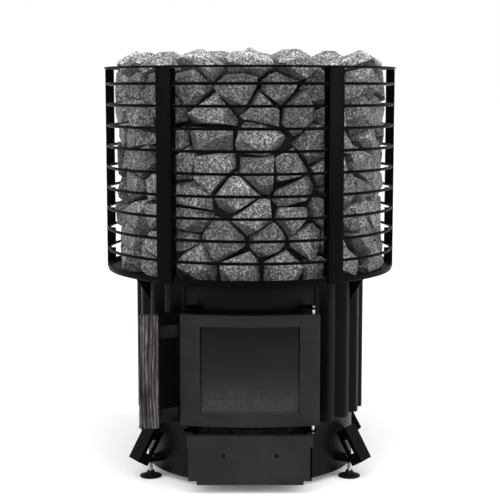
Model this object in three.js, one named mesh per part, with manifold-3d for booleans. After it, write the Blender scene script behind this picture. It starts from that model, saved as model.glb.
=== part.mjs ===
// Wood-burning sauna stove: a round cage of stones over a cylindrical firebox with a glazed door,
// an ash drawer and four levelling feet.
// Millimetres, +Z up, the front faces -Y, the origin is on the floor under the stove's axis.
import * as THREE from "three";
import { ConvexGeometry } from "three/addons/geometries/ConvexGeometry.js";
import { mergeVertices } from "three/addons/utils/BufferGeometryUtils.js";
import Module from "manifold-3d";

const wasm = await Module();
wasm.setup();

// Clearances
const SEAT = 0.3; // between pieces that touch, and all round a pin in its hole
const RUN = 5; // beside a drawer that slides through a cut sheet
const LIFT_OFF = 9; // from the door's top to the upper hinge lug
const HANG = 10.2; // from the door's bottom to the lower hinge lug
const UNDER_LUG = 0.8; // from the lower lug down to the drawer's top

// Body
const BODY_RADIUS = 216;
const BODY_WALL = 4;
const BODY_BOTTOM = 14;
const BODY_TOP = 415;
const BASE_THICK = 4;
const FLOOR_THICK = 5;
const ROUND_SIDES = 60;

// Door, a shallow curved pan
const DOOR_STANDOFF = 20.7; // from the throat's flange to the middle of the door's face
const DOOR_CURVE = 500;
const DOOR_HALF_WIDTH = 137;
const DOOR_BOTTOM = 133.5;
const DOOR_HEIGHT = 222;
const DOOR_SHEET = 3;
const DOOR_DEPTH = 18;
const WINDOW_SIDE = 39.5;
const WINDOW_LOWER = 25.5;
const WINDOW_UPPER = 23.5;
const GLASS_THICK = 4;
const GLASS_LAP = 10.5;
const GLASS_SEAL_THICK = 1.8;
const RETAINER_THICK = 2;
const RETAINER_LAP = 16;
const DOOR_SEAL_THICK = 6.7;
const DOOR_SEAL_WIDTH = 10;

// Throat and its flange
const THROAT_LAP = 6.5;
const THROAT_RISE = 13.5;
const THROAT_WALL = 4;
const THROAT_REACH = 40;
const THROAT_SILL = 12;
const FLANGE_THICK = 3;
const FLANGE_HALF_ANGLE = 35.5;
const FLANGE_DROP = 8.5;
const FLANGE_HEAD = 6.5;

// Hinge
const PIN_FROM_EDGE = 13;
const PIN_FROM_FACE = 9;
const PIN_DIAMETER = 6;
const PIN_HEAD_DIAMETER = 10;
const PIN_HEAD = 5;
const PIN_STAND = 3;
const LUG_HALF_WIDTH = 8;
const LUG_THICK = 4;
const LUG_EAR_ANGLE = 4;

// Handle
const GRIP_FROM_DOOR = 40;
const GRIP_WIDTH = 38;
const GRIP_THICK = 17.7;
const GRIP_HEIGHT = 222.6;
const GRIP_RAISE = 2.5;
const GRIP_EDGE = 2;
const ARM_THICK = 4;
const ARM_HEIGHT = 25;
const ARM_BEND = 31;
const ARM_FORWARD = 16;
const ARM_REACH_IN = 19;
const ARM_ABOVE = 78.5;
const ARM_BELOW = 86;
const SHIELD_THICK = 2;
const SHIELD_OUT = 46;
const SHIELD_BACK = 17;
const SHIELD_RAISE = 24.5;
const CATCH_WIDTH = 10;
const CATCH_HEIGHT = 24;
const CATCH_REACH = 14;

// Grates
const GRATE_SLOTS = 7;
const GRATE_SLOT = 14;
const GRATE_BAR = 14;
const GRATE_BODY = 12;
const GRATE_LIP = 3.7;
const GRATE_MARGIN = 7;
const GRATE_LEDGE = 7;
const GRATE_FRONT = -91;
const GRATE_SPLIT = -16;
const GRATE_REAR = 62;

// Crown and heat drum
const CROWN_THICK = 4;
const DRUM_RADIUS = 150;
const DRUM_WALL = 4;
const DRUM_TOP = 655;
const DRUM_SHOULDER = 20;
const DRUM_CAP_RISE = 5;

// Flue collar
const FLUE_RADIUS = 57.5;
const FLUE_WALL = 3.5;
const FLUE_Z = 345;
const FLUE_REACH = 74;
const FLUE_BEAD = 2.5;
const FLUE_SIDES = 32;

// Ash drawer
const DRAWER_AHEAD = 6; // of the door's face
const DRAWER_SHEET = 3;
const DRAWER_BOTTOM = 28;
const DRAWER_LAP = 11;
const DRAWER_EAR = 2.5;
const DRAWER_EAR_HEIGHT = 23;
const DRAWER_RETURN = 15;
const DRAWER_LIP_INSET = 16;
const DRAWER_LIP_DROP = 8;
const TRAY_HALF_WIDTH = 110;
const TRAY_LENGTH = 283;
const TRAY_HEIGHT = 64;
const TRAY_WALL = 2;
const RUNNER_HEIGHT = 5.4;
const RUNNER_WIDTH = 14;
const RUNNER_LIP = 3;
const RUNNER_LIP_HEIGHT = 10;
const RUNNER_LENGTH = 238;

// Rib jackets
const RIB_COUNT = 8;
const RIB_FIRST = 43.5;
const RIB_PITCH = 12.5;
const RIB_RISE = 22;
const RIB_CREST = 16;
const RIB_SLANT = 27.5;
const RIB_SHEET = 2;
const RIB_FOOT = 9.5;
const RIB_BOTTOM = 129;

// Stone cage
const CAGE_RADIUS = 300;
const CAGE_SHEET = 3;
const RIM_TOP = 835;
const RIM_WIDTH = 18;
const RIM_THICK = 4;
const PAN_LIP = 12;
const PAN_HOLE_CLEARANCE = 5;
const POST_AZIMUTHS = [30, 90, 150];
const POST_FACE = 35;
const POST_FLANGE = 15;
const ROD_DIAMETER = 6;
const ROD_SIDES = 5;
const ROD_RING_SIDES = 36;
const ROD_COUNT = 9;
const ROD_TOP_DROP = 34; // of the top rod below the rim
const ROD_FOOT = 43.8; // of the lowest rod over the pan
const GUSSET_THICK = 3;
const GUSSET_HEIGHT = 72;
const GUSSET_WIDTH = 44;
const GUSSET_NOSE = 4;
const GUSSET_VALLEYS = [2, 7]; // the valley after this many ribs

// Stones
const STONE_SLACK = 1.5; // between the stones and the steel round them
const STONE_ROWS = 8;
const STONES_PER_ROW = 18; // or up to two more
const STONE_GAP = 6;
const STONE_REACH = 150; // how far away a neighbour still shapes a stone
const STONE_HALF_DEPTH = 22.5; // from the stones' middles to their faces
const STONE_BED = 40.5; // from the stones' faces to the packed core behind them
const STONE_DEPTH = 58.5; // how far in each stone of the wall reaches
const STONE_SHIFT = 0.6; // share of its spacing that a stone may lie off its even place
const STONE_LIFT = 0.44; // share of a row's height that a stone may lie high or low
const STONE_PUSH = 8; // how much further out some stones' middles lie
const STONE_MARGIN = 0.5; // from the outermost corners of the stones to their radius
const STONE_INSET = 3.5; // from the foremost faces to the stones' radius
const STONE_UNEVEN = 9; // how much deeper other faces lie
const STONE_LEAN = 0.5; // how far a face leans out of the round, as a slope
const STONE_WALL_DROP = 16; // of the wall's top below the rim
const WALL_BREAKS = 4; // corners knocked off a stone in the wall
const WALL_BREAK_TILT = 42;
const WALL_BREAK_NEAR = 20; // from the stone's middle to the nearest break
const HEAP_BREAKS = 5;
const HEAP_BREAK_TILT = 22;
const HEAP_BREAK_NEAR = 18;
const BREAK_TILT_SPAN = 25;
const BREAK_SPAN = 9; // from the nearest break to the furthest
const HEAP_SHIFT = 0.5;
const HEAP_LIFT = 14;
const HEAP_UNEVEN = 8; // how much lower the tops of some loose stones lie
const HEAP_INSET = 8; // of the loose stones from the stones' radius
const HEAP_CREST = 5; // of the loose stones' middles over the rim
const HEAP_BED = 12; // how far the loose stones sink into the packed core
const HEAP_RISE = 35; // of the heap's top over the rim
const HEAP_SINK = 20; // of the packed core's top below the rim
const HEAP_RINGS = [
  [0, 1],
  [0.292, 6],
  [0.57, 11],
  [0.841, 17],
]; // share of the stones' radius at each ring of loose stones, and how many lie in it

// Legs and levelling feet
const LEG_AZIMUTHS = [60, 120];
const LEG_WIDTH = 45;
const LEG_SHEET = 3;
const LEG_DEPTH = 24;
const LEG_LENGTH = 76.5;
const LEG_TILT = 30;
const LEG_TOP = 95; // height of the corner that meets the wall
const LEG_SLOT_LENGTH = 30;
const LEG_SLOT_WIDTH = 8;
const TAB_Z = 36;
const TAB_THICK = 4;
const TAB_REACH = 46;
const STUD_DIAMETER = 8;
const STUD_TOP = 58;
const STUD_OFFSET = 19.5; // from the wall to the stud's axis
const PAD_DIAMETER = 45;
const PAD_EDGE = 3;
const PAD_SHOULDER = 7;
const PAD_HEIGHT = 13;
const PAD_FLOOR = 5;
const PAD_NECK = 3; // wall round the stud

// Worked out from the sizes above
const DOOR_TOP = DOOR_BOTTOM + DOOR_HEIGHT;
const DOOR_MIDDLE_Z = DOOR_BOTTOM + DOOR_HEIGHT / 2;
const WINDOW_HALF_WIDTH = DOOR_HALF_WIDTH - WINDOW_SIDE;
const WINDOW_BOTTOM = DOOR_BOTTOM + WINDOW_LOWER;
const WINDOW_TOP = DOOR_TOP - WINDOW_UPPER;
const THROAT_HALF_WIDTH = WINDOW_HALF_WIDTH + THROAT_LAP;
const THROAT_BOTTOM = WINDOW_BOTTOM - THROAT_RISE;
const THROAT_TOP = WINDOW_TOP + THROAT_RISE;
const FLANGE_INNER = BODY_RADIUS + SEAT;
const FLANGE_OUTER = FLANGE_INNER + FLANGE_THICK;
const DOOR_FRONT = FLANGE_OUTER + DOOR_STANDOFF;
const DOOR_CENTRE_Y = DOOR_CURVE - DOOR_FRONT;
const DOOR_EDGE_Y = DOOR_CENTRE_Y - Math.sqrt(DOOR_CURVE ** 2 - DOOR_HALF_WIDTH ** 2);
const GLASS_SEAL_R = DOOR_CURVE - DOOR_SHEET - SEAT;
const GLASS_R = GLASS_SEAL_R - GLASS_SEAL_THICK - SEAT;
const RETAINER_R = GLASS_R - GLASS_THICK - SEAT;
const DOOR_SEAL_R = RETAINER_R - RETAINER_THICK - SEAT;
const THROAT_RIM_R = DOOR_SEAL_R - DOOR_SEAL_THICK - SEAT;
const PIN_X = DOOR_HALF_WIDTH - PIN_FROM_EDGE;
const PIN_Y = DOOR_CENTRE_Y - Math.sqrt((DOOR_CURVE - PIN_FROM_FACE) ** 2 - PIN_X ** 2);
const PIN_AZIMUTH = THREE.MathUtils.radToDeg(Math.atan2(PIN_X, -PIN_Y));
const PIN_AT = Math.hypot(PIN_X, PIN_Y);
const UPPER_LUG_Z = DOOR_TOP + LIFT_OFF;
const LOWER_LUG_Z = DOOR_BOTTOM - HANG - LUG_THICK;
const FLOOR_TOP = THROAT_BOTTOM - THROAT_SILL;
const GRATE_HALF_WIDTH = (GRATE_SLOTS * GRATE_SLOT + (GRATE_SLOTS - 1) * GRATE_BAR) / 2 + GRATE_MARGIN;
const ARM_Y = DOOR_EDGE_Y - ARM_FORWARD;
const ARM_ENTRY_Y = DOOR_EDGE_Y + DOOR_SHEET + ARM_THICK;
const GRIP_BACK = ARM_Y - ARM_THICK / 2 - SEAT;
const GRIP_FRONT = GRIP_BACK - GRIP_THICK;
const GRIP_INNER_X = -DOOR_HALF_WIDTH - GRIP_FROM_DOOR;
const GRIP_OUTER_X = GRIP_INNER_X - GRIP_WIDTH;
const UPPER_ARM_Z = DOOR_MIDDLE_Z + ARM_ABOVE - ARM_HEIGHT / 2;
const LOWER_ARM_Z = DOOR_MIDDLE_Z - ARM_BELOW - ARM_HEIGHT / 2;
const DRAWER_TOP = LOWER_LUG_Z - UNDER_LUG;
const DRAWER_FACE = -DOOR_FRONT - DRAWER_AHEAD;
const DRAWER_HALF_WIDTH = TRAY_HALF_WIDTH + DRAWER_LAP;
const DRAWER_HOLE_TOP = FLOOR_TOP - FLOOR_THICK - 1;
const PAN_Z = BODY_TOP + SEAT + CROWN_THICK + SEAT;
const POST_INNER = CAGE_RADIUS - CAGE_SHEET;
const COMB_INNER = POST_INNER - POST_FLANGE;
const PAN_RADIUS = POST_INNER - SEAT;
const ROD_RADIUS = POST_INNER - SEAT - ROD_DIAMETER / 2;
const POST_TOP = RIM_TOP - RIM_THICK - SEAT;
const RIB_RADIUS = BODY_RADIUS + RIB_RISE;
const VALLEY_RADIUS = BODY_RADIUS + SEAT + RIB_SHEET;
const STONE_RADIUS = COMB_INNER - STONE_SLACK;
const STONE_MIDDLE = STONE_RADIUS - STONE_HALF_DEPTH;
const STONE_CORE = STONE_RADIUS - STONE_BED;
const STONE_BACK = STONE_RADIUS - STONE_DEPTH;
const STONE_FLOOR = PAN_Z + CAGE_SHEET + SEAT;
const HEAP_TOP = RIM_TOP + HEAP_RISE;
const HEAP_MIDDLE = RIM_TOP + HEAP_CREST;
const STONE_CORE_TOP = RIM_TOP - HEAP_SINK;
const HEAP_BACK = STONE_CORE_TOP - HEAP_BED;
const STONE_WALL_TOP = RIM_TOP - STONE_WALL_DROP;
const STUD_AT = BODY_RADIUS + STUD_OFFSET;

const radians = THREE.MathUtils.degToRad;

// A point in plan at an azimuth measured from the front, towards +X.
function plan(radius, azimuth) {
  const angle = radians(azimuth);
  return new THREE.Vector2(radius * Math.sin(angle), -radius * Math.cos(angle));
}

function finish(colour, roughness, metalness) {
  return () => new THREE.MeshStandardMaterial({ color: colour, roughness, metalness });
}

const blackPaint = finish(0x1b1a1c, 0.55, 0.3);
const castIron = finish(0x2a2929, 0.8, 0.4);
const bareSteel = finish(0x8d8f92, 0.35, 0.9);
const stainedWood = finish(0x5a5253, 0.7, 0);
const darkGlass = finish(0x101012, 0.08, 0);
const glassRope = finish(0x3a3835, 0.95, 0);
const blackRubber = finish(0x0c0c0d, 0.75, 0);
const splitStone = finish(0x6b6b6c, 0.9, 0);
const galvanised = finish(0x6d7073, 0.5, 0.8);

// Solids for joins and cuts

function solid(geometry) {
  const bare = geometry.index ? geometry.toNonIndexed() : geometry.clone();
  bare.deleteAttribute("normal");
  bare.deleteAttribute("uv");
  const merged = mergeVertices(bare);
  return new wasm.Manifold(
    new wasm.Mesh({
      numProp: 3,
      vertProperties: merged.attributes.position.array,
      triVerts: merged.index.array,
    }),
  );
}

function surface(body) {
  const mesh = body.getMesh();
  const geometry = new THREE.BufferGeometry();
  geometry.setAttribute("position", new THREE.BufferAttribute(mesh.vertProperties, 3));
  geometry.setIndex(new THREE.BufferAttribute(mesh.triVerts, 1));
  geometry.computeVertexNormals();
  return geometry;
}

// Revolves a profile of [radius, height] points round Z.
function revolve(profile, sides = ROUND_SIDES) {
  const points = profile.map(([r, z]) => new THREE.Vector2(r, z));
  if (THREE.ShapeUtils.area(points) < 0) points.reverse();
  const onAxis = points[0].x === 0 && points[points.length - 1].x === 0;
  if (!onAxis) points.push(points[0].clone());
  return new THREE.LatheGeometry(points, sides).rotateX(Math.PI / 2);
}

// A tube or ring of rectangular section.
function ring(inner, outer, bottom, top, sides) {
  const profile = [
    [inner, bottom],
    [outer, bottom],
    [outer, top],
    [inner, top],
  ];
  return revolve(profile, sides);
}

function disc(radius, bottom, top, sides) {
  const profile = [
    [0, bottom],
    [radius, bottom],
    [radius, top],
    [0, top],
  ];
  return revolve(profile, sides);
}

// A box from its lowest and highest corners.
function block(low, high) {
  const size = high.map((value, i) => value - low[i]);
  const middle = high.map((value, i) => (value + low[i]) / 2);
  return new THREE.BoxGeometry(...size).translate(...middle);
}

// Extrudes a closed outline of plan points from one height to another.
function prism(outline, bottom, top, curveSegments = 12) {
  const shape = outline instanceof THREE.Shape ? outline : new THREE.Shape(outline);
  const settings = { depth: top - bottom, bevelEnabled: false, curveSegments };
  return new THREE.ExtrudeGeometry(shape, settings).translate(0, 0, bottom);
}

// Extrudes a shape drawn in (radius, height) to a thickness centred on the radial plane at the front.
function radialPlate(shape, thick) {
  const settings = { depth: thick, bevelEnabled: false, curveSegments: 8 };
  return new THREE.ExtrudeGeometry(shape, settings)
    .translate(0, 0, -thick / 2)
    .rotateX(Math.PI / 2)
    .rotateZ(-Math.PI / 2);
}

// The plan outline of a band between two arcs round the stove's axis.
function arcBand(inner, outer, from, to) {
  const shape = new THREE.Shape();
  const start = radians(from - 90);
  const end = radians(to - 90);
  shape.absarc(0, 0, outer, start, end, false);
  shape.absarc(0, 0, inner, end, start, true);
  shape.closePath();
  return shape;
}

// The plan outline of a band that follows the door's curve, between two radii of that curve.
function doorBand(outer, inner, halfWidth) {
  const shape = new THREE.Shape();
  const outerAngle = Math.asin(halfWidth / outer);
  const innerAngle = Math.asin(halfWidth / inner);
  const down = -Math.PI / 2;
  shape.absarc(0, DOOR_CENTRE_Y, outer, down - outerAngle, down + outerAngle, false);
  shape.absarc(0, DOOR_CENTRE_Y, inner, down + innerAngle, down - innerAngle, true);
  shape.closePath();
  return shape;
}

const DOOR_ARC_STEPS = 8;

function doorSlab(outer, inner, halfWidth, bottom, top) {
  return prism(doorBand(outer, inner, halfWidth), bottom, top, DOOR_ARC_STEPS);
}

// A slab on the door's curve with a rectangular hole, lap wide all round the given opening.
function doorRing(outer, inner, halfWidth, bottom, top, lap) {
  const slab = solid(doorSlab(outer, inner, halfWidth + lap, bottom - lap, top + lap));
  const hole = block([-halfWidth, -DOOR_CURVE, bottom], [halfWidth, 0, top]);
  return surface(slab.subtract(solid(hole)));
}

const stove = new THREE.Group();
const body = new THREE.Group();
const cage = new THREE.Group();
const door = new THREE.Group();
const drawer = new THREE.Group();
const feet = new THREE.Group();
stove.add(body, cage, door, drawer, feet);

function place(group, name, geometry, material, azimuth = 0) {
  const mesh = new THREE.Mesh(geometry, material());
  mesh.name = name;
  mesh.rotation.z = radians(azimuth);
  group.add(mesh);
  return mesh;
}

function mirrored(geometry) {
  return surface(solid(geometry).mirror([1, 0, 0]));
}

// The outline of a bent strip of even thickness along a path of plan points.
function strip(path, thick) {
  const left = [];
  const right = [];
  path.forEach((point, index) => {
    const before = path[Math.max(index - 1, 0)];
    const after = path[Math.min(index + 1, path.length - 1)];
    const along = after.clone().sub(before).normalize();
    const into = point.clone().sub(before).normalize();
    const out = after.clone().sub(point).normalize();
    const isBend = index > 0 && index < path.length - 1;
    if (isBend) along.copy(into).add(out).normalize();
    const reach = thick / 2 / (isBend ? along.dot(out) : 1);
    const normal = new THREE.Vector2(-along.y, along.x);
    left.push(point.clone().addScaledVector(normal, reach));
    right.push(point.clone().addScaledVector(normal, -reach));
  });
  return [...left, ...right.reverse()];
}

// Firebox

function throatHole(clearance) {
  const side = THROAT_HALF_WIDTH + clearance;
  const low = [-side, -BODY_RADIUS - RUN, THROAT_BOTTOM - clearance];
  return block(low, [side, 0, THROAT_TOP + clearance]);
}

function drawerHole() {
  const side = TRAY_HALF_WIDTH + RUN;
  const low = [-side, -BODY_RADIUS - RUN, BODY_BOTTOM + BASE_THICK + SEAT];
  return block(low, [side, 0, DRAWER_HOLE_TOP]);
}

function bodyShell() {
  const tube = solid(ring(BODY_RADIUS - BODY_WALL, BODY_RADIUS, BODY_BOTTOM, BODY_TOP));
  const flueHole = disc(FLUE_RADIUS + SEAT, 0, BODY_RADIUS + RUN, FLUE_SIDES)
    .rotateX(-Math.PI / 2)
    .translate(0, 0, FLUE_Z);
  return surface(
    tube
      .subtract(solid(throatHole(SEAT)))
      .subtract(solid(drawerHole()))
      .subtract(solid(flueHole)),
  );
}

function fireboxFloor() {
  const plate = disc(BODY_RADIUS - BODY_WALL - SEAT, FLOOR_TOP - FLOOR_THICK, FLOOR_TOP);
  const hole = block(
    [-GRATE_HALF_WIDTH - SEAT, GRATE_FRONT - SEAT, FLOOR_TOP - 2 * FLOOR_THICK],
    [GRATE_HALF_WIDTH + SEAT, GRATE_REAR + SEAT, FLOOR_TOP + FLOOR_THICK],
  );
  return surface(solid(plate).subtract(solid(hole)));
}

// One half of the grate: a slotted body in the floor's hole under a lip that rests on the floor.
function grate(front, rear, lipFront, lipRear) {
  const bottom = FLOOR_TOP - GRATE_BODY;
  const lipBottom = FLOOR_TOP + SEAT;
  const top = lipBottom + GRATE_LIP;
  const wide = GRATE_HALF_WIDTH + GRATE_LEDGE;
  let part = solid(block([-GRATE_HALF_WIDTH, front, bottom], [GRATE_HALF_WIDTH, rear, top]));
  part = part.add(solid(block([-wide, lipFront, lipBottom], [wide, lipRear, top])));
  for (let slot = 0; slot < GRATE_SLOTS; slot += 1) {
    const x = (slot - (GRATE_SLOTS - 1) / 2) * (GRATE_SLOT + GRATE_BAR);
    const low = [x - GRATE_SLOT / 2, front + GRATE_MARGIN, bottom - RUN];
    const high = [x + GRATE_SLOT / 2, rear - GRATE_MARGIN, top + RUN];
    part = part.subtract(solid(block(low, high)));
  }
  return surface(part);
}

// The crown plate and the drum that carries the fire's heat up into the stones, open below.
function heatDrum() {
  const crown = BODY_TOP + SEAT;
  const inner = DRUM_RADIUS - DRUM_WALL;
  const shoulder = DRUM_TOP - DRUM_CAP_RISE - DRUM_SHOULDER;
  const profile = [
    [0, DRUM_TOP - DRUM_WALL],
    [inner - DRUM_SHOULDER, DRUM_TOP - DRUM_CAP_RISE - DRUM_WALL],
    [inner, shoulder],
    [inner, crown],
    [BODY_RADIUS, crown],
    [BODY_RADIUS, crown + CROWN_THICK],
    [DRUM_RADIUS, crown + CROWN_THICK],
    [DRUM_RADIUS, shoulder],
    [DRUM_RADIUS - DRUM_SHOULDER, DRUM_TOP - DRUM_CAP_RISE],
    [0, DRUM_TOP],
  ];
  return revolve(profile, ROD_RING_SIDES);
}

function flueCollar() {
  const inner = FLUE_RADIUS - FLUE_WALL;
  const start = BODY_RADIUS - 2 * BODY_WALL;
  const bead = BODY_RADIUS + 2 * RUN;
  const end = BODY_RADIUS + FLUE_REACH;
  const profile = [
    [inner, start],
    [FLUE_RADIUS, start],
    [FLUE_RADIUS, bead],
    [FLUE_RADIUS + FLUE_BEAD, bead + FLUE_BEAD],
    [FLUE_RADIUS, bead + 2 * FLUE_BEAD],
    [FLUE_RADIUS, end],
    [inner, end],
  ];
  return revolve(profile, FLUE_SIDES).rotateX(-Math.PI / 2).translate(0, 0, FLUE_Z);
}

// A flat lug out of the throat's flange, round at the hinge pin.
function hingeLug(side, bottom) {
  const root = FLANGE_INNER + FLANGE_THICK / 3;
  const shape = new THREE.Shape();
  shape.moveTo(LUG_HALF_WIDTH, -root).lineTo(-LUG_HALF_WIDTH, -root);
  shape.absarc(0, -PIN_AT, LUG_HALF_WIDTH, Math.PI, 2 * Math.PI, false);
  shape.closePath();
  const hole = new THREE.Path();
  hole.absarc(0, -PIN_AT, PIN_DIAMETER / 2 + SEAT, 0, 2 * Math.PI, true);
  shape.holes.push(hole);
  const lug = prism(shape, bottom, bottom + LUG_THICK, 8);
  return solid(lug.rotateZ(radians(side * PIN_AZIMUTH)));
}

function flangeBand(from, to, bottom, top, steps) {
  return solid(prism(arcBand(FLANGE_INNER, FLANGE_OUTER, from, to), bottom, top, steps));
}

// The duct that the door closes on, with a flange that follows the body and lugs at both sides.
function doorThroat() {
  const bottom = DOOR_BOTTOM - FLANGE_DROP;
  const head = DOOR_TOP + FLANGE_HEAD;
  let part = flangeBand(-FLANGE_HALF_ANGLE, FLANGE_HALF_ANGLE, bottom, head, 12);
  for (const side of [-1, 1]) {
    const middle = side * PIN_AZIMUTH;
    const top = UPPER_LUG_Z + LUG_THICK;
    part = part
      .add(flangeBand(middle - LUG_EAR_ANGLE, middle + LUG_EAR_ANGLE, LOWER_LUG_Z, top, 2))
      .add(hingeLug(side, UPPER_LUG_Z))
      .add(hingeLug(side, LOWER_LUG_Z));
  }
  const duct = doorSlab(
    THROAT_RIM_R,
    THROAT_RIM_R - THROAT_REACH,
    THROAT_HALF_WIDTH,
    THROAT_BOTTOM,
    THROAT_TOP,
  );
  const side = THROAT_HALF_WIDTH - THROAT_WALL;
  const passage = block(
    [-side, -DOOR_FRONT, THROAT_BOTTOM + THROAT_WALL],
    [side, 0, THROAT_TOP - THROAT_WALL],
  );
  return surface(part.add(solid(duct)).subtract(solid(passage)));
}

// A block on the flange that the closed door snaps over.
function doorCatch() {
  const inner = -THROAT_HALF_WIDTH - CATCH_WIDTH;
  const back = -Math.sqrt((FLANGE_OUTER + SEAT) ** 2 - inner ** 2) - SEAT;
  const low = [inner - CATCH_WIDTH, back - CATCH_REACH, DOOR_MIDDLE_Z - CATCH_HEIGHT / 2];
  return block(low, [inner, back, DOOR_MIDDLE_Z + CATCH_HEIGHT / 2]);
}

// An angle on the base plate that carries one edge of the ash tray.
function ashRunner() {
  const bottom = BODY_BOTTOM + BASE_THICK + SEAT;
  const top = bottom + RUNNER_HEIGHT;
  const wall = TRAY_HALF_WIDTH + 2 * SEAT;
  const inner = wall - RUNNER_WIDTH;
  const outer = wall + RUNNER_LIP;
  const shape = new THREE.Shape();
  shape.moveTo(inner, bottom).lineTo(outer, bottom).lineTo(outer, top + RUNNER_LIP_HEIGHT);
  shape.lineTo(wall, top + RUNNER_LIP_HEIGHT).lineTo(wall, top).lineTo(inner, top).closePath();
  const front = Math.sqrt((BODY_RADIUS - BODY_WALL - SEAT) ** 2 - outer ** 2) - SEAT;
  return new THREE.ExtrudeGeometry(shape, { depth: RUNNER_LENGTH, bevelEnabled: false })
    .rotateX(Math.PI / 2)
    .translate(0, RUNNER_LENGTH - front, 0);
}

// A corrugated sheet on one side of the body, one bent rib after another.
function ribJacket() {
  const slant = radians(RIB_SLANT);
  const degrees = (width, radius) => THREE.MathUtils.radToDeg(width / radius);
  const base = RIB_CREST / 2 + (RIB_RADIUS - VALLEY_RADIUS) * Math.tan(slant);
  const tuck = (RIB_SHEET * (1 - Math.sin(slant))) / Math.cos(slant);
  const innerCrest = RIB_RADIUS - RIB_SHEET;
  const innerValley = VALLEY_RADIUS - RIB_SHEET;
  const half = {
    outerBase: degrees(base, VALLEY_RADIUS),
    outerCrest: degrees(RIB_CREST / 2, RIB_RADIUS),
    innerBase: degrees(base - tuck, innerValley),
    innerCrest: degrees(RIB_CREST / 2 - tuck, innerCrest),
  };
  const foot = half.outerBase + degrees(RIB_FOOT, VALLEY_RADIUS);
  const start = RIB_FIRST - foot;
  const end = RIB_FIRST + (RIB_COUNT - 1) * RIB_PITCH + foot;
  const outer = [plan(VALLEY_RADIUS, start)];
  const inner = [plan(innerValley, start)];
  for (let rib = 0; rib < RIB_COUNT; rib += 1) {
    const middle = RIB_FIRST + rib * RIB_PITCH;
    outer.push(
      plan(VALLEY_RADIUS, middle - half.outerBase),
      plan(RIB_RADIUS, middle - half.outerCrest),
      plan(RIB_RADIUS, middle + half.outerCrest),
      plan(VALLEY_RADIUS, middle + half.outerBase),
    );
    inner.push(
      plan(innerValley, middle - half.innerBase),
      plan(innerCrest, middle - half.innerCrest),
      plan(innerCrest, middle + half.innerCrest),
      plan(innerValley, middle + half.innerBase),
    );
  }
  outer.push(plan(VALLEY_RADIUS, end));
  inner.push(plan(innerValley, end));
  return prism([...outer, ...inner.reverse()], RIB_BOTTOM, PAN_Z - SEAT);
}

const basePlate = disc(BODY_RADIUS - BODY_WALL - SEAT, BODY_BOTTOM, BODY_BOTTOM + BASE_THICK);
const frontGrate = grate(
  GRATE_FRONT,
  GRATE_SPLIT - SEAT / 2,
  GRATE_FRONT - GRATE_LEDGE,
  GRATE_SPLIT - SEAT / 2,
);
const rearGrate = grate(
  GRATE_SPLIT + SEAT / 2,
  GRATE_REAR,
  GRATE_SPLIT + SEAT / 2,
  GRATE_REAR + GRATE_LEDGE,
);
place(body, "body_shell", bodyShell(), blackPaint);
place(body, "base_plate", basePlate, blackPaint);
place(body, "firebox_floor", fireboxFloor(), castIron);
place(body, "grate_front", frontGrate, castIron);
place(body, "grate_rear", rearGrate, castIron);
place(body, "heat_drum", heatDrum(), blackPaint);
place(body, "flue_collar", flueCollar(), blackPaint);
place(body, "door_throat", doorThroat(), blackPaint);
place(body, "door_catch", doorCatch(), bareSteel);
place(body, "ash_runner_right", ashRunner(), bareSteel);
place(body, "ash_runner_left", mirrored(ashRunner()), bareSteel);
place(body, "rib_jacket_right", ribJacket(), blackPaint);
place(body, "rib_jacket_left", mirrored(ribJacket()), blackPaint);

// Stone cage

function cageFloor() {
  const hole = DRUM_RADIUS + PAN_HOLE_CLEARANCE;
  const profile = [
    [hole, PAN_Z],
    [PAN_RADIUS, PAN_Z],
    [PAN_RADIUS, PAN_Z + PAN_LIP],
    [PAN_RADIUS - CAGE_SHEET, PAN_Z + PAN_LIP],
    [PAN_RADIUS - CAGE_SHEET, PAN_Z + CAGE_SHEET],
    [hole, PAN_Z + CAGE_SHEET],
  ];
  return revolve(profile);
}

function rodHeight(index) {
  const top = RIM_TOP - ROD_TOP_DROP;
  const bottom = PAN_Z + ROD_FOOT;
  return top - (index * (top - bottom)) / (ROD_COUNT - 1);
}

function rod(index) {
  const profile = [];
  for (let corner = 0; corner < ROD_SIDES; corner += 1) {
    const angle = (corner / ROD_SIDES) * 2 * Math.PI;
    const r = ROD_RADIUS + (ROD_DIAMETER / 2) * Math.cos(angle);
    profile.push([r, rodHeight(index) + (ROD_DIAMETER / 2) * Math.sin(angle)]);
  }
  return revolve(profile, ROD_RING_SIDES);
}

// An angle whose comb of notches holds the rods against its face.
function post() {
  const faceAngle = THREE.MathUtils.radToDeg(POST_FACE / CAGE_RADIUS);
  const face = prism(arcBand(POST_INNER, CAGE_RADIUS, 0, faceAngle), PAN_Z, POST_TOP, 4);
  const bottom = PAN_Z + PAN_LIP + SEAT;
  const outer = POST_INNER + CAGE_SHEET / 2;
  const notch = ROD_DIAMETER / 2 + SEAT;
  const comb = new THREE.Shape();
  comb.moveTo(outer, POST_TOP).lineTo(COMB_INNER, POST_TOP);
  for (let index = 0; index < ROD_COUNT; index += 1) {
    const z = rodHeight(index);
    comb.lineTo(COMB_INNER, z + notch).lineTo(POST_INNER, z + notch);
    comb.lineTo(POST_INNER, z - notch).lineTo(COMB_INNER, z - notch);
  }
  comb.lineTo(COMB_INNER, bottom).lineTo(outer, bottom).closePath();
  const flange = radialPlate(comb, CAGE_SHEET).translate(CAGE_SHEET / 2, 0, 0);
  return surface(solid(face).add(solid(flange)));
}

// A three-cornered plate under the pan, standing in a valley of the rib jacket.
function gusset() {
  const inner = VALLEY_RADIUS + SEAT;
  const outer = inner + GUSSET_WIDTH;
  const top = PAN_Z - SEAT;
  const shape = new THREE.Shape();
  shape.moveTo(inner, top - GUSSET_HEIGHT).lineTo(outer, top - GUSSET_NOSE);
  shape.lineTo(outer, top).lineTo(inner, top).closePath();
  return radialPlate(shape, GUSSET_THICK);
}

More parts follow.
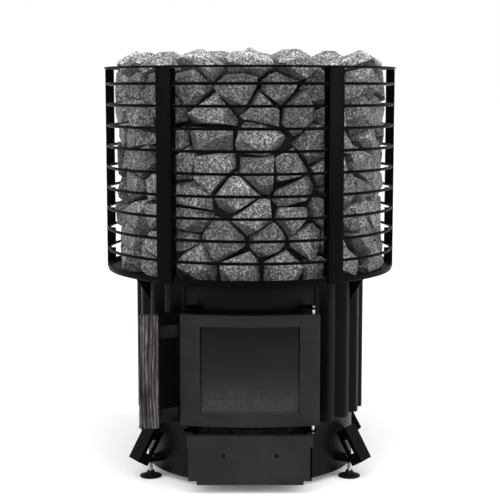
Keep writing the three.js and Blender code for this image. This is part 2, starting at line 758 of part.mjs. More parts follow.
const cageRim = ring(CAGE_RADIUS - RIM_WIDTH, CAGE_RADIUS, RIM_TOP - RIM_THICK, RIM_TOP);
place(cage, "cage_floor", cageFloor(), blackPaint);
place(cage, "cage_rim", cageRim, blackPaint);
for (let index = 0; index < ROD_COUNT; index += 1) {
  place(cage, `cage_rod_${index + 1}`, rod(index), blackPaint);
}
POST_AZIMUTHS.forEach((azimuth, index) => {
  place(cage, `cage_post_right_${index + 1}`, post(), blackPaint, azimuth);
  place(cage, `cage_post_left_${index + 1}`, mirrored(post()), blackPaint, -azimuth);
});
GUSSET_VALLEYS.forEach((ribs, index) => {
  const azimuth = RIB_FIRST + (ribs - 0.5) * RIB_PITCH;
  place(cage, `cage_gusset_right_${index + 1}`, gusset(), blackPaint, azimuth);
  place(cage, `cage_gusset_left_${index + 1}`, gusset(), blackPaint, -azimuth);
});

// Stones

const WALL_KEY = 1000; // keys of the stones in the wall start here, and those of the loose stones at HEAP_KEY
const HEAP_KEY = 5000;
const KEYS_PER_ROW = 100;
const NEARLY_FLAT = 1e-6;
const ON_A_CUT = 1e-5;

// A repeatable number from 0 to 1 for each seed.
function chance(seed) {
  const wave = Math.sin(seed * 12.9898) * 43758.5453;
  return wave - Math.floor(wave);
}

function seedAt(radius, azimuth, z, key) {
  const spot = plan(radius, azimuth);
  return { place: new THREE.Vector3(spot.x, spot.y, z), key };
}

// The middles of the stones in the wall, row by row.
function wallSeeds() {
  const seeds = [];
  const rowHeight = (STONE_WALL_TOP - STONE_FLOOR) / STONE_ROWS;
  for (let row = 0; row < STONE_ROWS; row += 1) {
    const count = STONES_PER_ROW + Math.floor(3 * chance(row * 17.3 + 2));
    const start = 360 * chance(row * 5.7 + 1);
    for (let place = 0; place < count; place += 1) {
      const key = WALL_KEY + row * KEYS_PER_ROW + place;
      const azimuth = start + ((place + STONE_SHIFT * (chance(key + 0.1) - 0.5)) * 360) / count;
      const z = STONE_FLOOR + (row + 0.5 + STONE_LIFT * (chance(key + 0.2) - 0.5)) * rowHeight;
      seeds.push(seedAt(STONE_MIDDLE + STONE_PUSH * chance(key + 0.3), azimuth, z, key));
    }
  }
  return seeds;
}

// The middles of the loose stones on top, ring by ring.
function heapSeeds() {
  const seeds = [];
  HEAP_RINGS.forEach(([share, count], ring) => {
    const radius = share * STONE_RADIUS;
    for (let place = 0; place < count; place += 1) {
      const key = HEAP_KEY + ring * KEYS_PER_ROW + place;
      const azimuth = ((place + HEAP_SHIFT * (chance(key + 0.1) - 0.5)) * 360) / count;
      const z = HEAP_MIDDLE + HEAP_LIFT * (chance(key + 0.2) - 0.5);
      seeds.push(seedAt(radius, azimuth, z, key));
    }
  });
  return seeds;
}

// A cut through a point: what lies on the normal's side is split off.
function cut(point, normal) {
  const unit = normal.clone().normalize();
  return new THREE.Plane().setFromNormalAndCoplanarPoint(unit, point);
}

function outward(seed) {
  return new THREE.Vector3(seed.place.x, seed.place.y, 0).normalize();
}

// Cuts that knock the corners off the side of a stone that faces along an axis.
function breaks(seed, axis, side, up, count, leastTilt, nearest) {
  const cuts = [];
  for (let index = 0; index < count; index += 1) {
    const key = seed.key + index * 3.7;
    const turn = ((index + chance(key + 0.4)) / count) * 2 * Math.PI;
    const tilt = radians(leastTilt + BREAK_TILT_SPAN * chance(key + 0.5));
    const normal = axis.clone().multiplyScalar(Math.cos(tilt));
    normal.addScaledVector(side, Math.cos(turn) * Math.sin(tilt));
    normal.addScaledVector(up, Math.sin(turn) * Math.sin(tilt));
    const reach = nearest + BREAK_SPAN * chance(key + 0.6);
    cuts.push(cut(seed.place.clone().addScaledVector(normal, reach), normal));
  }
  return cuts;
}

function wallCuts(seed) {
  const up = new THREE.Vector3(0, 0, 1);
  const out = outward(seed);
  const side = new THREE.Vector3(-out.y, out.x, 0);
  const height = up.clone().multiplyScalar(seed.place.z);
  const lean = out.clone();
  lean.addScaledVector(side, STONE_LEAN * (chance(seed.key + 0.7) - 0.5));
  lean.addScaledVector(up, STONE_LEAN * (chance(seed.key + 0.8) - 0.5));
  const face = STONE_RADIUS - STONE_INSET - STONE_UNEVEN * chance(seed.key + 0.9);
  return [
    cut(height.clone().addScaledVector(out, face), lean),
    cut(height.clone().addScaledVector(out, STONE_RADIUS - STONE_MARGIN), out),
    cut(height.clone().addScaledVector(out, STONE_BACK), out.clone().negate()),
    cut(new THREE.Vector3(0, 0, STONE_FLOOR), up.clone().negate()),
    ...breaks(seed, out, side, up, WALL_BREAKS, WALL_BREAK_TILT, WALL_BREAK_NEAR),
  ];
}

function heapCuts(seed) {
  const right = new THREE.Vector3(1, 0, 0);
  const back = new THREE.Vector3(0, 1, 0);
  const up = new THREE.Vector3(0, 0, 1);
  const cuts = [
    cut(new THREE.Vector3(0, 0, HEAP_TOP - HEAP_UNEVEN * chance(seed.key + 0.7)), up),
    cut(new THREE.Vector3(0, 0, HEAP_BACK), up.clone().negate()),
    ...breaks(seed, up, right, back, HEAP_BREAKS, HEAP_BREAK_TILT, HEAP_BREAK_NEAR),
  ];
  if (Math.hypot(seed.place.x, seed.place.y) > 1) {
    const out = outward(seed);
    const edge = out.clone().multiplyScalar(STONE_RADIUS - HEAP_INSET);
    cuts.push(cut(edge, out));
  }
  return cuts;
}

// Cuts half-way to each neighbour, drawn back by half the gap.
function neighbourCuts(seed, seeds) {
  const cuts = [];
  for (const other of seeds) {
    const apart = other.place.clone().sub(seed.place);
    const distance = apart.length();
    if (distance > 0 && distance < STONE_REACH) {
      apart.normalize();
      cuts.push(cut(seed.place.clone().addScaledVector(apart, (distance - STONE_GAP) / 2), apart));
    }
  }
  return cuts;
}

// The corner where three cuts meet, or null where they don't meet in one point.
function corner(a, b, c) {
  const across = new THREE.Vector3().crossVectors(b.normal, c.normal);
  const volume = a.normal.dot(across);
  if (Math.abs(volume) < NEARLY_FLAT) {
    return null;
  }
  const point = across.multiplyScalar(-a.constant);
  point.addScaledVector(new THREE.Vector3().crossVectors(c.normal, a.normal), -b.constant);
  point.addScaledVector(new THREE.Vector3().crossVectors(a.normal, b.normal), -c.constant);
  return point.divideScalar(volume);
}

// What its cuts leave of a stone.
function splitStoneBody(cuts) {
  const points = [];
  for (let i = 0; i < cuts.length; i += 1) {
    for (let j = i + 1; j < cuts.length; j += 1) {
      for (let k = j + 1; k < cuts.length; k += 1) {
        const point = corner(cuts[i], cuts[j], cuts[k]);
        if (point && cuts.every((one) => one.distanceToPoint(point) < ON_A_CUT)) {
          points.push(point);
        }
      }
    }
  }
  return points.length < 4 ? null : solid(new ConvexGeometry(points));
}

function stoneCharge() {
  const wall = wallSeeds();
  const loose = heapSeeds();
  const all = [...wall, ...loose];
  let heap = solid(disc(STONE_CORE, STONE_FLOOR, STONE_CORE_TOP, ROD_RING_SIDES));
  for (const seed of all) {
    const own = seed.key < HEAP_KEY ? wallCuts(seed) : heapCuts(seed);
    const stone = splitStoneBody([...own, ...neighbourCuts(seed, all)]);
    if (stone) {
      heap = heap.add(stone);
    }
  }
  const drumRoom = [
    [0, STONE_FLOOR - RUN],
    [DRUM_RADIUS + PAN_HOLE_CLEARANCE, STONE_FLOOR - RUN],
    [DRUM_RADIUS + PAN_HOLE_CLEARANCE, DRUM_TOP - DRUM_CAP_RISE - DRUM_SHOULDER / 2],
    [DRUM_RADIUS + PAN_HOLE_CLEARANCE - DRUM_SHOULDER, DRUM_TOP + SEAT],
    [0, DRUM_TOP + SEAT],
  ];
  heap = heap.subtract(solid(revolve(drumRoom, ROD_RING_SIDES)));
  const bodies = heap.decompose();
  return surface(bodies.reduce((most, one) => (one.volume() > most.volume() ? one : most)));
}

place(cage, "stone_charge", stoneCharge(), splitStone);

// Door

function pinHole() {
  const hole = disc(PIN_DIAMETER / 2 + SEAT, DOOR_BOTTOM - RUN, DOOR_TOP + RUN, 16);
  return solid(hole.translate(PIN_X, PIN_Y, 0));
}

function armSlot(bottom) {
  const half = ARM_THICK / 2 + SEAT;
  const low = [-DOOR_HALF_WIDTH - RUN, ARM_ENTRY_Y - half, bottom - SEAT];
  const high = [-DOOR_HALF_WIDTH + RUN, ARM_ENTRY_Y + half, bottom + ARM_HEIGHT + SEAT];
  return solid(block(low, high));
}

function doorFrame() {
  const inner = DOOR_CURVE - DOOR_DEPTH;
  const pan = solid(doorSlab(DOOR_CURVE, inner, DOOR_HALF_WIDTH, DOOR_BOTTOM, DOOR_TOP));
  const hollow = doorSlab(
    DOOR_CURVE - DOOR_SHEET,
    inner - DOOR_DEPTH,
    DOOR_HALF_WIDTH - DOOR_SHEET,
    DOOR_BOTTOM + DOOR_SHEET,
    DOOR_TOP - DOOR_SHEET,
  );
  const window = block(
    [-WINDOW_HALF_WIDTH, -DOOR_CURVE, WINDOW_BOTTOM],
    [WINDOW_HALF_WIDTH, 0, WINDOW_TOP],
  );
  return surface(
    pan
      .subtract(solid(hollow))
      .subtract(solid(window))
      .subtract(pinHole())
      .subtract(armSlot(UPPER_ARM_Z))
      .subtract(armSlot(LOWER_ARM_Z)),
  );
}

function doorGlass() {
  return doorSlab(
    GLASS_R,
    GLASS_R - GLASS_THICK,
    WINDOW_HALF_WIDTH + GLASS_LAP,
    WINDOW_BOTTOM - GLASS_LAP,
    WINDOW_TOP + GLASS_LAP,
  );
}

function windowRing(outer, thick, lap) {
  return doorRing(outer, outer - thick, WINDOW_HALF_WIDTH, WINDOW_BOTTOM, WINDOW_TOP, lap);
}

// The rope seal behind the glass frame, which meets the throat's rim.
function doorSeal() {
  const inset = THROAT_WALL / 2 + DOOR_SEAL_WIDTH / 2;
  return doorRing(
    DOOR_SEAL_R,
    DOOR_SEAL_R - DOOR_SEAL_THICK,
    THROAT_HALF_WIDTH - inset,
    THROAT_BOTTOM + inset,
    THROAT_TOP - inset,
    DOOR_SEAL_WIDTH,
  );
}

// A flat bar bent forward from a slot in the door's edge to the grip.
function handleArm(bottom) {
  const path = [
    new THREE.Vector2(GRIP_INNER_X - GRIP_WIDTH * 0.75, ARM_Y),
    new THREE.Vector2(-DOOR_HALF_WIDTH - ARM_BEND, ARM_Y),
    new THREE.Vector2(-DOOR_HALF_WIDTH - ARM_THICK / 2, ARM_ENTRY_Y),
    new THREE.Vector2(-DOOR_HALF_WIDTH + ARM_REACH_IN, ARM_ENTRY_Y),
  ];
  return prism(strip(path, ARM_THICK), bottom, bottom + ARM_HEIGHT);
}

function handleGrip() {
  const shape = new THREE.Shape();
  shape.moveTo(GRIP_OUTER_X, GRIP_BACK).lineTo(GRIP_OUTER_X, GRIP_FRONT + GRIP_EDGE);
  shape.lineTo(GRIP_OUTER_X + GRIP_EDGE, GRIP_FRONT).lineTo(GRIP_INNER_X - GRIP_EDGE, GRIP_FRONT);
  shape.lineTo(GRIP_INNER_X, GRIP_FRONT + GRIP_EDGE).lineTo(GRIP_INNER_X, GRIP_BACK).closePath();
  const bottom = DOOR_BOTTOM + GRIP_RAISE;
  return prism(shape, bottom, bottom + GRIP_HEIGHT);
}

// The plate that keeps the heat of the ribs off the hand.
function handleShield() {
  const edge = -DOOR_HALF_WIDTH - SEAT - SHIELD_THICK / 2;
  const y = DOOR_EDGE_Y + DOOR_DEPTH - SHIELD_THICK;
  const path = [new THREE.Vector2(edge, y), new THREE.Vector2(edge - SHIELD_OUT, y + SHIELD_BACK)];
  return prism(strip(path, SHIELD_THICK), DOOR_BOTTOM + SHIELD_RAISE, DOOR_TOP);
}

// A headed pin; its head is inside the door's pan, at the given end of the sheet.
function hingePin(head, sheet, tip) {
  const radius = PIN_DIAMETER / 2;
  const wide = PIN_HEAD_DIAMETER / 2;
  const profile = [
    [0, head],
    [wide, head],
    [wide, sheet],
    [radius, sheet],
    [radius, tip],
    [0, tip],
  ];
  return revolve(profile, 16).translate(PIN_X, PIN_Y, 0);
}

const upperSeat = DOOR_TOP - DOOR_SHEET - SEAT;
const upperTip = UPPER_LUG_Z + LUG_THICK + PIN_STAND;
const lowerSeat = DOOR_BOTTOM + DOOR_SHEET + SEAT;
const lowerTip = LOWER_LUG_Z - PIN_STAND;
place(door, "door_frame", doorFrame(), blackPaint);
place(door, "door_glass", doorGlass(), darkGlass);
place(door, "glass_seal", windowRing(GLASS_SEAL_R, GLASS_SEAL_THICK, GLASS_LAP), glassRope);
place(door, "glass_retainer", windowRing(RETAINER_R, RETAINER_THICK, RETAINER_LAP), blackPaint);
place(door, "door_seal", doorSeal(), glassRope);
place(door, "handle_arm_upper", handleArm(UPPER_ARM_Z), blackPaint);
place(door, "handle_arm_lower", handleArm(LOWER_ARM_Z), blackPaint);
place(door, "handle_grip", handleGrip(), stainedWood);
place(door, "handle_shield", handleShield(), blackPaint);
place(door, "hinge_pin_upper", hingePin(upperSeat - PIN_HEAD, upperSeat, upperTip), bareSteel);
place(door, "hinge_pin_lower", hingePin(lowerSeat + PIN_HEAD, lowerSeat, lowerTip), bareSteel);

// Ash drawer

function drawerFront() {
  const back = DRAWER_FACE + DRAWER_RETURN;
  const inside = DRAWER_FACE + DRAWER_SHEET;
  const side = DRAWER_HALF_WIDTH;
  const wide = side + DRAWER_EAR;
  const earBottom = DRAWER_TOP - DRAWER_EAR_HEIGHT;
  const outline = new THREE.Shape();
  outline.moveTo(-side, DRAWER_BOTTOM).lineTo(side, DRAWER_BOTTOM).lineTo(side, earBottom);
  outline.lineTo(wide, earBottom).lineTo(wide, DRAWER_TOP).lineTo(-wide, DRAWER_TOP);
  outline.lineTo(-wide, earBottom).lineTo(-side, earBottom).closePath();
  const sheet = new THREE.ExtrudeGeometry(outline, { depth: DRAWER_SHEET, bevelEnabled: false })
    .rotateX(Math.PI / 2)
    .translate(0, inside, 0);
  const topReturn = block([-wide, DRAWER_FACE, DRAWER_TOP - DRAWER_SHEET], [wide, back, DRAWER_TOP]);
  let part = solid(sheet).add(solid(topReturn));
  for (const end of [-1, 1]) {
    const edges = [end * side, end * (side - DRAWER_SHEET)];
    const low = [Math.min(...edges), DRAWER_FACE, DRAWER_BOTTOM];
    part = part.add(solid(block(low, [Math.max(...edges), back, earBottom])));
  }
  const lipSide = side - DRAWER_LIP_INSET;
  const lip = new THREE.Shape();
  lip.moveTo(DRAWER_FACE, DRAWER_BOTTOM).lineTo(inside, DRAWER_BOTTOM);
  lip.lineTo(inside, DRAWER_BOTTOM - DRAWER_LIP_DROP);
  lip.lineTo(DRAWER_FACE + DRAWER_SHEET / 2, DRAWER_BOTTOM - DRAWER_LIP_DROP).closePath();
  const fold = new THREE.ExtrudeGeometry(lip, { depth: 2 * lipSide, bevelEnabled: false })
    .rotateX(Math.PI / 2)
    .rotateZ(Math.PI / 2)
    .translate(-lipSide, 0, 0);
  return surface(part.add(solid(fold)));
}

function ashTray() {
  const front = DRAWER_FACE + DRAWER_SHEET + SEAT;
  const bottom = BODY_BOTTOM + BASE_THICK + SEAT + RUNNER_HEIGHT + SEAT;
  const low = [-TRAY_HALF_WIDTH, front, bottom];
  const high = [TRAY_HALF_WIDTH, front + TRAY_LENGTH, bottom + TRAY_HEIGHT];
  const inside = block(
    low.map((value) => value + TRAY_WALL),
    [high[0] - TRAY_WALL, high[1] - TRAY_WALL, high[2] + TRAY_WALL],
  );
  return surface(solid(block(low, high)).subtract(solid(inside)));
}

place(drawer, "ash_drawer_front", drawerFront(), blackPaint);
place(drawer, "ash_tray", ashTray(), galvanised);

// Legs and levelling feet

// A slanted channel with slotted sides, and a flat tab that the levelling stud passes through.
function legBracket() {
  const tilt = radians(LEG_TILT);
  const across = new THREE.Vector2(Math.cos(tilt), Math.sin(tilt));
  const down = new THREE.Vector2(Math.sin(tilt), -Math.cos(tilt));
  const half = LEG_WIDTH / 2;
  const root = Math.sqrt((BODY_RADIUS + SEAT) ** 2 - (half - LEG_SHEET) ** 2);
  const corner = new THREE.Vector2(root, LEG_TOP);
  const at = (a, d) => corner.clone().addScaledVector(across, a).addScaledVector(down, d);
  const side = new THREE.Shape([
    at(0, 0),
    at(0, LEG_LENGTH),
    at(LEG_DEPTH, LEG_LENGTH),
    at(LEG_DEPTH, 0),
  ]);
  const slotFrom = (LEG_LENGTH - LEG_SLOT_LENGTH) / 2;
  const slotSide = (LEG_DEPTH - LEG_SLOT_WIDTH) / 2;
  side.holes.push(
    new THREE.Path([
      at(slotSide, slotFrom),
      at(LEG_DEPTH - slotSide, slotFrom),
      at(LEG_DEPTH - slotSide, slotFrom + LEG_SLOT_LENGTH),
      at(slotSide, slotFrom + LEG_SLOT_LENGTH),
    ]),
  );
  const web = new THREE.Shape([
    at(LEG_DEPTH - LEG_SHEET, 0),
    at(LEG_DEPTH - LEG_SHEET, LEG_LENGTH),
    at(LEG_DEPTH, LEG_LENGTH),
    at(LEG_DEPTH, 0),
  ]);
  let part = solid(radialPlate(web, LEG_WIDTH));
  for (const end of [-1, 1]) {
    const offset = end * (half - LEG_SHEET / 2);
    part = part.add(solid(radialPlate(side, LEG_SHEET).translate(offset, 0, 0)));
  }
  const reach = BODY_RADIUS + TAB_REACH;
  const tab = block([-half, -reach, TAB_Z], [half, -BODY_RADIUS / 2, TAB_Z + TAB_THICK]);
  const studHole = disc(STUD_DIAMETER / 2 + SEAT, TAB_Z - RUN, TAB_Z + TAB_THICK + RUN, 16);
  studHole.translate(0, -STUD_AT, 0);
  const wall = disc(BODY_RADIUS + SEAT, BODY_BOTTOM - RUN, LEG_TOP + 2 * LEG_DEPTH);
  return surface(part.add(solid(tab)).subtract(solid(studHole)).subtract(solid(wall)));
}

function levellingStud() {
  const bottom = PAD_FLOOR + SEAT;
  return disc(STUD_DIAMETER / 2, bottom, STUD_TOP, 12).translate(0, -STUD_AT, 0);
}

function footPad() {
  const socket = STUD_DIAMETER / 2 + SEAT;
  const neck = socket + PAD_NECK;
  const profile = [
    [0, 0],
    [PAD_DIAMETER / 2, 0],
    [PAD_DIAMETER / 2, PAD_EDGE],
    [neck + 2, PAD_SHOULDER],
    [neck, PAD_HEIGHT],
    [socket, PAD_HEIGHT],
    [socket, PAD_FLOOR],
    [0, PAD_FLOOR],
  ];
  return revolve(profile, 24).translate(0, -STUD_AT, 0);
}

const ENDS = ["front", "rear"];
LEG_AZIMUTHS.forEach((azimuth, index) => {
  for (const side of ["left", "right"]) {
    const turn = side === "left" ? -azimuth : azimuth;
    const corner = `${ENDS[index]}_${side}`;
    place(feet, `leg_bracket_${corner}`, legBracket(), blackPaint, turn);
    place(feet, `levelling_stud_${corner}`, levellingStud(), bareSteel, turn);
    place(feet, `foot_pad_${corner}`, footPad(), blackRubber, turn);
  }
});

export default stove;
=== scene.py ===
"""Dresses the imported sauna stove: stones, cage, ribs, door, handle, drawer and feet on a pale floor."""

import math

import bpy
from bpy.props import FloatProperty, FloatVectorProperty, PointerProperty
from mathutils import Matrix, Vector


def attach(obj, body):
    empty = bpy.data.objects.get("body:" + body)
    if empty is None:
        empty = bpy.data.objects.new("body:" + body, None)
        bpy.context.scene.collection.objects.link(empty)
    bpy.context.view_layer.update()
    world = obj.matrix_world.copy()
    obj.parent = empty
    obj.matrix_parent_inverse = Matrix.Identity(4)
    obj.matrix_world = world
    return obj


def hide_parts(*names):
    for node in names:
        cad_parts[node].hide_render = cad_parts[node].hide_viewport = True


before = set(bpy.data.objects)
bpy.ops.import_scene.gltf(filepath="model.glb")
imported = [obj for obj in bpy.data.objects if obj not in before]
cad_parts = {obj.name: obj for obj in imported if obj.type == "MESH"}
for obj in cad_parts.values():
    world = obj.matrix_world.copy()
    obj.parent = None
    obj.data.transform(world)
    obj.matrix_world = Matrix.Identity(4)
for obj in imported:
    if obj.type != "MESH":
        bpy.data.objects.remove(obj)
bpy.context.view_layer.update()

bl_info = {
    "name": "Sauna stove",
    "version": (1, 0, 0),
    "blender": (4, 5, 0),
    "location": "View3D > Sidebar > Stove",
    "description": "Models the visible pieces of a wood-burning sauna stove over its solid frame",
    "category": "Object",
}

MM = 0.001
WAVE_LENGTH = math.pi / 10  # of Blender's wave texture at scale 1

# Where the looks change over a piece, in mm
# The glass's painted reflection fades from pale to dark between these heights
GLASS_GRADIENT_LOW = 160
GLASS_GRADIENT_HIGH = 335
GRATE_REACH = 100  # from the middle of the stove past both ends of the grate
GRATE_BAR_ENDS = (-84, -23, -9, 55)  # front and back of the bars in the front half, then in the rear half
GRATE_BAR_SPAN = 91  # from the middle to the outermost slot's edge


def linear(hex_colour):
    """An sRGB hex colour as linear red, green, blue."""
    channels = [int(hex_colour[i : i + 2], 16) / 255 for i in (1, 3, 5)]
    return tuple(c / 12.92 if c <= 0.04045 else ((c + 0.055) / 1.055) ** 2.4 for c in channels)


# Sizes and colours


def length_setting(name, description, size_mm):
    return FloatProperty(name=name, description=description, default=size_mm * MM, unit="LENGTH")


def colour_setting(name, description, hex_colour):
    return FloatVectorProperty(
        name=name, description=description, subtype="COLOR", size=3, default=linear(hex_colour)
    )


class StoveSizes(bpy.types.PropertyGroup):
    edge: length_setting("Sheet edge", "Radius broken on the edges of cut sheet", 0.7)
    rib_bend: length_setting("Rib bend", "Radius of the bends in the rib jackets", 4.5)
    rod: length_setting("Rod diameter", "Diameter of the cage's ring rods", 6)
    stone_gap: length_setting("Stone gap", "Space between neighbouring stones", 6)
    stone_edge: length_setting("Stone edge", "How far the stones' edges are knocked off", 2.4)
    grip_round: length_setting("Grip edge", "Radius on the edges of the wooden grip", 3)
    thread: length_setting("Thread pitch", "Pitch of the levelling studs' thread", 1.5)


class StoveColours(bpy.types.PropertyGroup):
    paint: colour_setting("Black paint", "Heat-resistant paint on the steel sheet", "#050505")
    charcoal: colour_setting("Charcoal paint", "Textured paint on the door and the drawer", "#1d1c1e")
    stone: colour_setting("Stone", "Middle tone of the split stones", "#5f5e5e")
    wood: colour_setting("Stained wood", "Middle tone of the stained grip", "#393638")
    floor: colour_setting("Floor", "The studio floor", "#f8f8f8")


def sizes():
    return bpy.context.scene.stove_sizes


def colours():
    return bpy.context.scene.stove_colours


# Materials


def add_node(tree, kind, links=None, **settings):
    """Adds a node, sets its values and links sockets: links maps an input to a (node, output) pair."""
    node = tree.nodes.new(kind)
    for key, value in settings.items():
        if key.startswith("in_"):
            name = key[3:].replace("_", " ")
            socket = next(s for s in node.inputs if s.name == name and s.enabled)
            socket.default_value = value
        else:
            setattr(node, key, value)
    for name, (source, output) in (links or {}).items():
        socket = next(s for s in node.inputs if s.name == name and s.enabled)
        tree.links.new(source.outputs[output], socket)
    return node


def new_material(name):
    """A bare material, its nodes, and the piece's own space as a (node, output) pair."""
    material = bpy.data.materials.new(name)
    material.use_nodes = True
    tree = material.node_tree
    tree.nodes.clear()
    shader = add_node(tree, "ShaderNodeBsdfPrincipled")
    add_node(tree, "ShaderNodeOutputMaterial", {"Surface": (shader, "BSDF")})
    return material, tree, (add_node(tree, "ShaderNodeTexCoord"), "Object")


def finished(material, **values):
    """Sets inputs of the material's shader to values, or links them to (node, output) pairs."""
    tree = material.node_tree
    for key, value in values.items():
        socket = tree.nodes["Principled BSDF"].inputs[key.replace("_", " ")]
        if isinstance(value, tuple) and isinstance(value[0], bpy.types.Node):
            tree.links.new(value[0].outputs[value[1]], socket)
        else:
            socket.default_value = value
    return material


def tint(hex_colour):
    return (*linear(hex_colour), 1.0)


def grey(level):
    return (level, level, level, 1.0)


def shade(colour, factor):
    return (*[min(1.0, c * factor) for c in colour], 1.0)


def per_metre(size_mm):
    """The scale that makes one turn of a pattern about this long."""
    return 1000 / size_mm


def texture(tree, kind, space, size_mm, output="Fac", **settings):
    """A pattern of Blender's own with features about this large."""
    kind = f"ShaderNodeTex{kind}"
    return add_node(tree, kind, {"Vector": space}, in_Scale=per_metre(size_mm), **settings), output


def ramp(tree, source, stops):
    node = add_node(tree, "ShaderNodeValToRGB", {"Fac": source})
    elements = node.color_ramp.elements
    while len(elements) < len(stops):
        elements.new(0.5)
    for element, (position, colour) in zip(elements, stops):
        element.position = position
        element.color = colour
    return node, "Color"


def spread(tree, source, low, high):
    """Spreads a value from 0 to 1 between two others."""
    return add_node(tree, "ShaderNodeMapRange", {"Value": source}, in_To_Min=low, in_To_Max=high), "Result"


def measure(tree, source, start_mm, end_mm):
    """Turns a place along an axis into 0 at the start and 1 at the end."""
    settings = {"in_From_Min": start_mm * MM, "in_From_Max": end_mm * MM}
    return add_node(tree, "ShaderNodeMapRange", {"Value": source}, **settings), "Result"


def multiply(tree, first, second, share=1.0):
    links = {"Color1": first, "Color2": second}
    return add_node(tree, "ShaderNodeMixRGB", links, blend_type="MULTIPLY", in_Fac=share), "Color"


def relief(tree, source, strength, depth_mm, under=None, **settings):
    """A bump from a pattern, laid over another bump where one is given."""
    links = {"Height": source, "Normal": under} if under else {"Height": source}
    settings.update(in_Strength=strength, in_Distance=depth_mm * MM)
    return add_node(tree, "ShaderNodeBump", links, **settings), "Normal"


def paint_coat(name, base, sheen, grain_mm, depth_mm):
    """A sprayed coat: its tone drifts over about 70 mm, and its grain breaks up the light."""
    material, tree, space = new_material(name)
    grain = texture(tree, "Noise", space, grain_mm, in_Detail=3.0)
    patch = texture(tree, "Noise", space, 70, in_Detail=4.0)
    return finished(
        material,
        Base_Color=ramp(tree, patch, [(0.3, shade(base, 0.8)), (0.7, shade(base, 1.25))]),
        Roughness=spread(tree, patch, 0.34, 0.52),
        Normal=relief(tree, grain, 0.25, depth_mm),
        Specular_IOR_Level=sheen,
    )


def stove_paint():
    """Smooth heat-resistant paint on the body, the ribs and the handle: deep black with a satin sheen."""
    base = tuple(colours().paint)
    return paint_coat("heat_resistant_black_paint", base, sheen=0.08, grain_mm=2.2, depth_mm=0.15)


def flat_paint():
    """Flat paint on the cage, the legs and inside the fire: the deepest black, with hardly any sheen. On the
    throat above the door and on the heat shield beside it, this deeper black is painted shade under the cage
    and behind the grip.
    """
    base = shade(colours().paint, 0.5)[:3]
    return paint_coat("flat_black_paint_and_painted_shade", base, sheen=0.03, grain_mm=2.2, depth_mm=0.15)


def textured_paint():
    """Textured charcoal paint on the door and the drawer: a shade lighter, with a sandy grain."""
    base = tuple(colours().charcoal)
    return paint_coat("textured_charcoal_paint", base, sheen=0.1, grain_mm=1.5, depth_mm=0.4)


def split_stone():
    """Split igneous stone: grey, speckled with pale and dark crystals, with rough broken faces."""
    material, tree, space = new_material("split_grey_stone")
    base = tuple(colours().stone)
    # Each face's own tone, with painted light and shade by which way the face turns
    own = add_node(tree, "ShaderNodeAttribute", attribute_name="stone_tone_and_shade")
    cloud = texture(tree, "Noise", space, 28, in_Detail=6.0, in_Roughness=0.65)
    fleck = texture(tree, "Noise", space, 4.2, in_Detail=3.0, in_Roughness=0.75)
    crystal = texture(tree, "Voronoi", space, 5, "Distance")
    factors = ((0.25, 0.42), (0.45, 0.8), (0.6, 1.1), (0.78, 1.75))
    ground = ramp(tree, cloud, [(place, shade(base, factor)) for place, factor in factors])
    dark, middle, pale = (0.05, 0.05, 0.06, 1), (0.66, 0.66, 0.67, 1), (3.3, 3.28, 3.25, 1)
    speck = ramp(tree, fleck, [(0.38, dark), (0.5, middle), (0.62, pale)])
    coarse = relief(tree, cloud, 0.9, 3.5)
    return finished(
        material,
        Base_Color=multiply(tree, multiply(tree, ground, speck, 0.85), (own, "Color")),
        Roughness=spread(tree, crystal, 0.62, 0.95),
        Normal=relief(tree, fleck, 0.6, 0.8, under=coarse),
        IOR=1.55,
    )


def packed_stone():
    """Stones deep in the heap, out of the light: painted nearly black as their shade, rough lumps of about 40
    mm.
    """
    material, tree, space = new_material("packed_stone_painted_shade")
    lump = texture(tree, "Voronoi", space, 40, "Distance")
    return finished(
        material,
        Base_Color=ramp(tree, lump, [(0.2, tint("#0d0c0c")), (0.8, tint("#040404"))]),
        Normal=relief(tree, lump, 0.8, 8, invert=True),
        Roughness=0.95,
    )


def stained_wood():
    """Open-grained hardwood stained grey-black: wavy upright grain, darker pores, a dry oiled sheen."""
    material, tree, space = new_material("grey_stained_hardwood")
    base = tuple(colours().wood)
    drawn_out = add_node(tree, "ShaderNodeMapping", {"Vector": space}, in_Scale=(1.0, 1.0, 0.17))
    along = (drawn_out, "Vector")
    fibre = texture(tree, "Noise", along, 10, in_Detail=3.0, in_Roughness=0.7)
    rings = add_node(
        tree,
        "ShaderNodeTexWave",
        {"Vector": along},
        bands_direction="X",
        in_Scale=WAVE_LENGTH * per_metre(6.5),
        in_Distortion=9.0,
        in_Detail=2.0,
        in_Detail_Scale=0.8,
    )
    factors = ((0.36, 0.35), (0.5, 0.85), (0.64, 2.0))
    stripes = ramp(tree, fibre, [(place, shade(base, factor)) for place, factor in factors])
    pore, plain, pale = (0.12, 0.11, 0.12, 1), (1, 0.98, 0.98, 1), (1.5, 1.46, 1.46, 1)
    bands = ramp(tree, (rings, "Fac"), [(0.08, pore), (0.4, plain), (1.0, pale)])
    return finished(
        material,
        Base_Color=multiply(tree, stripes, bands, 0.9),
        Normal=relief(tree, fibre, 0.5, 0.4),
        Roughness=0.58,
        Specular_IOR_Level=0.12,
    )


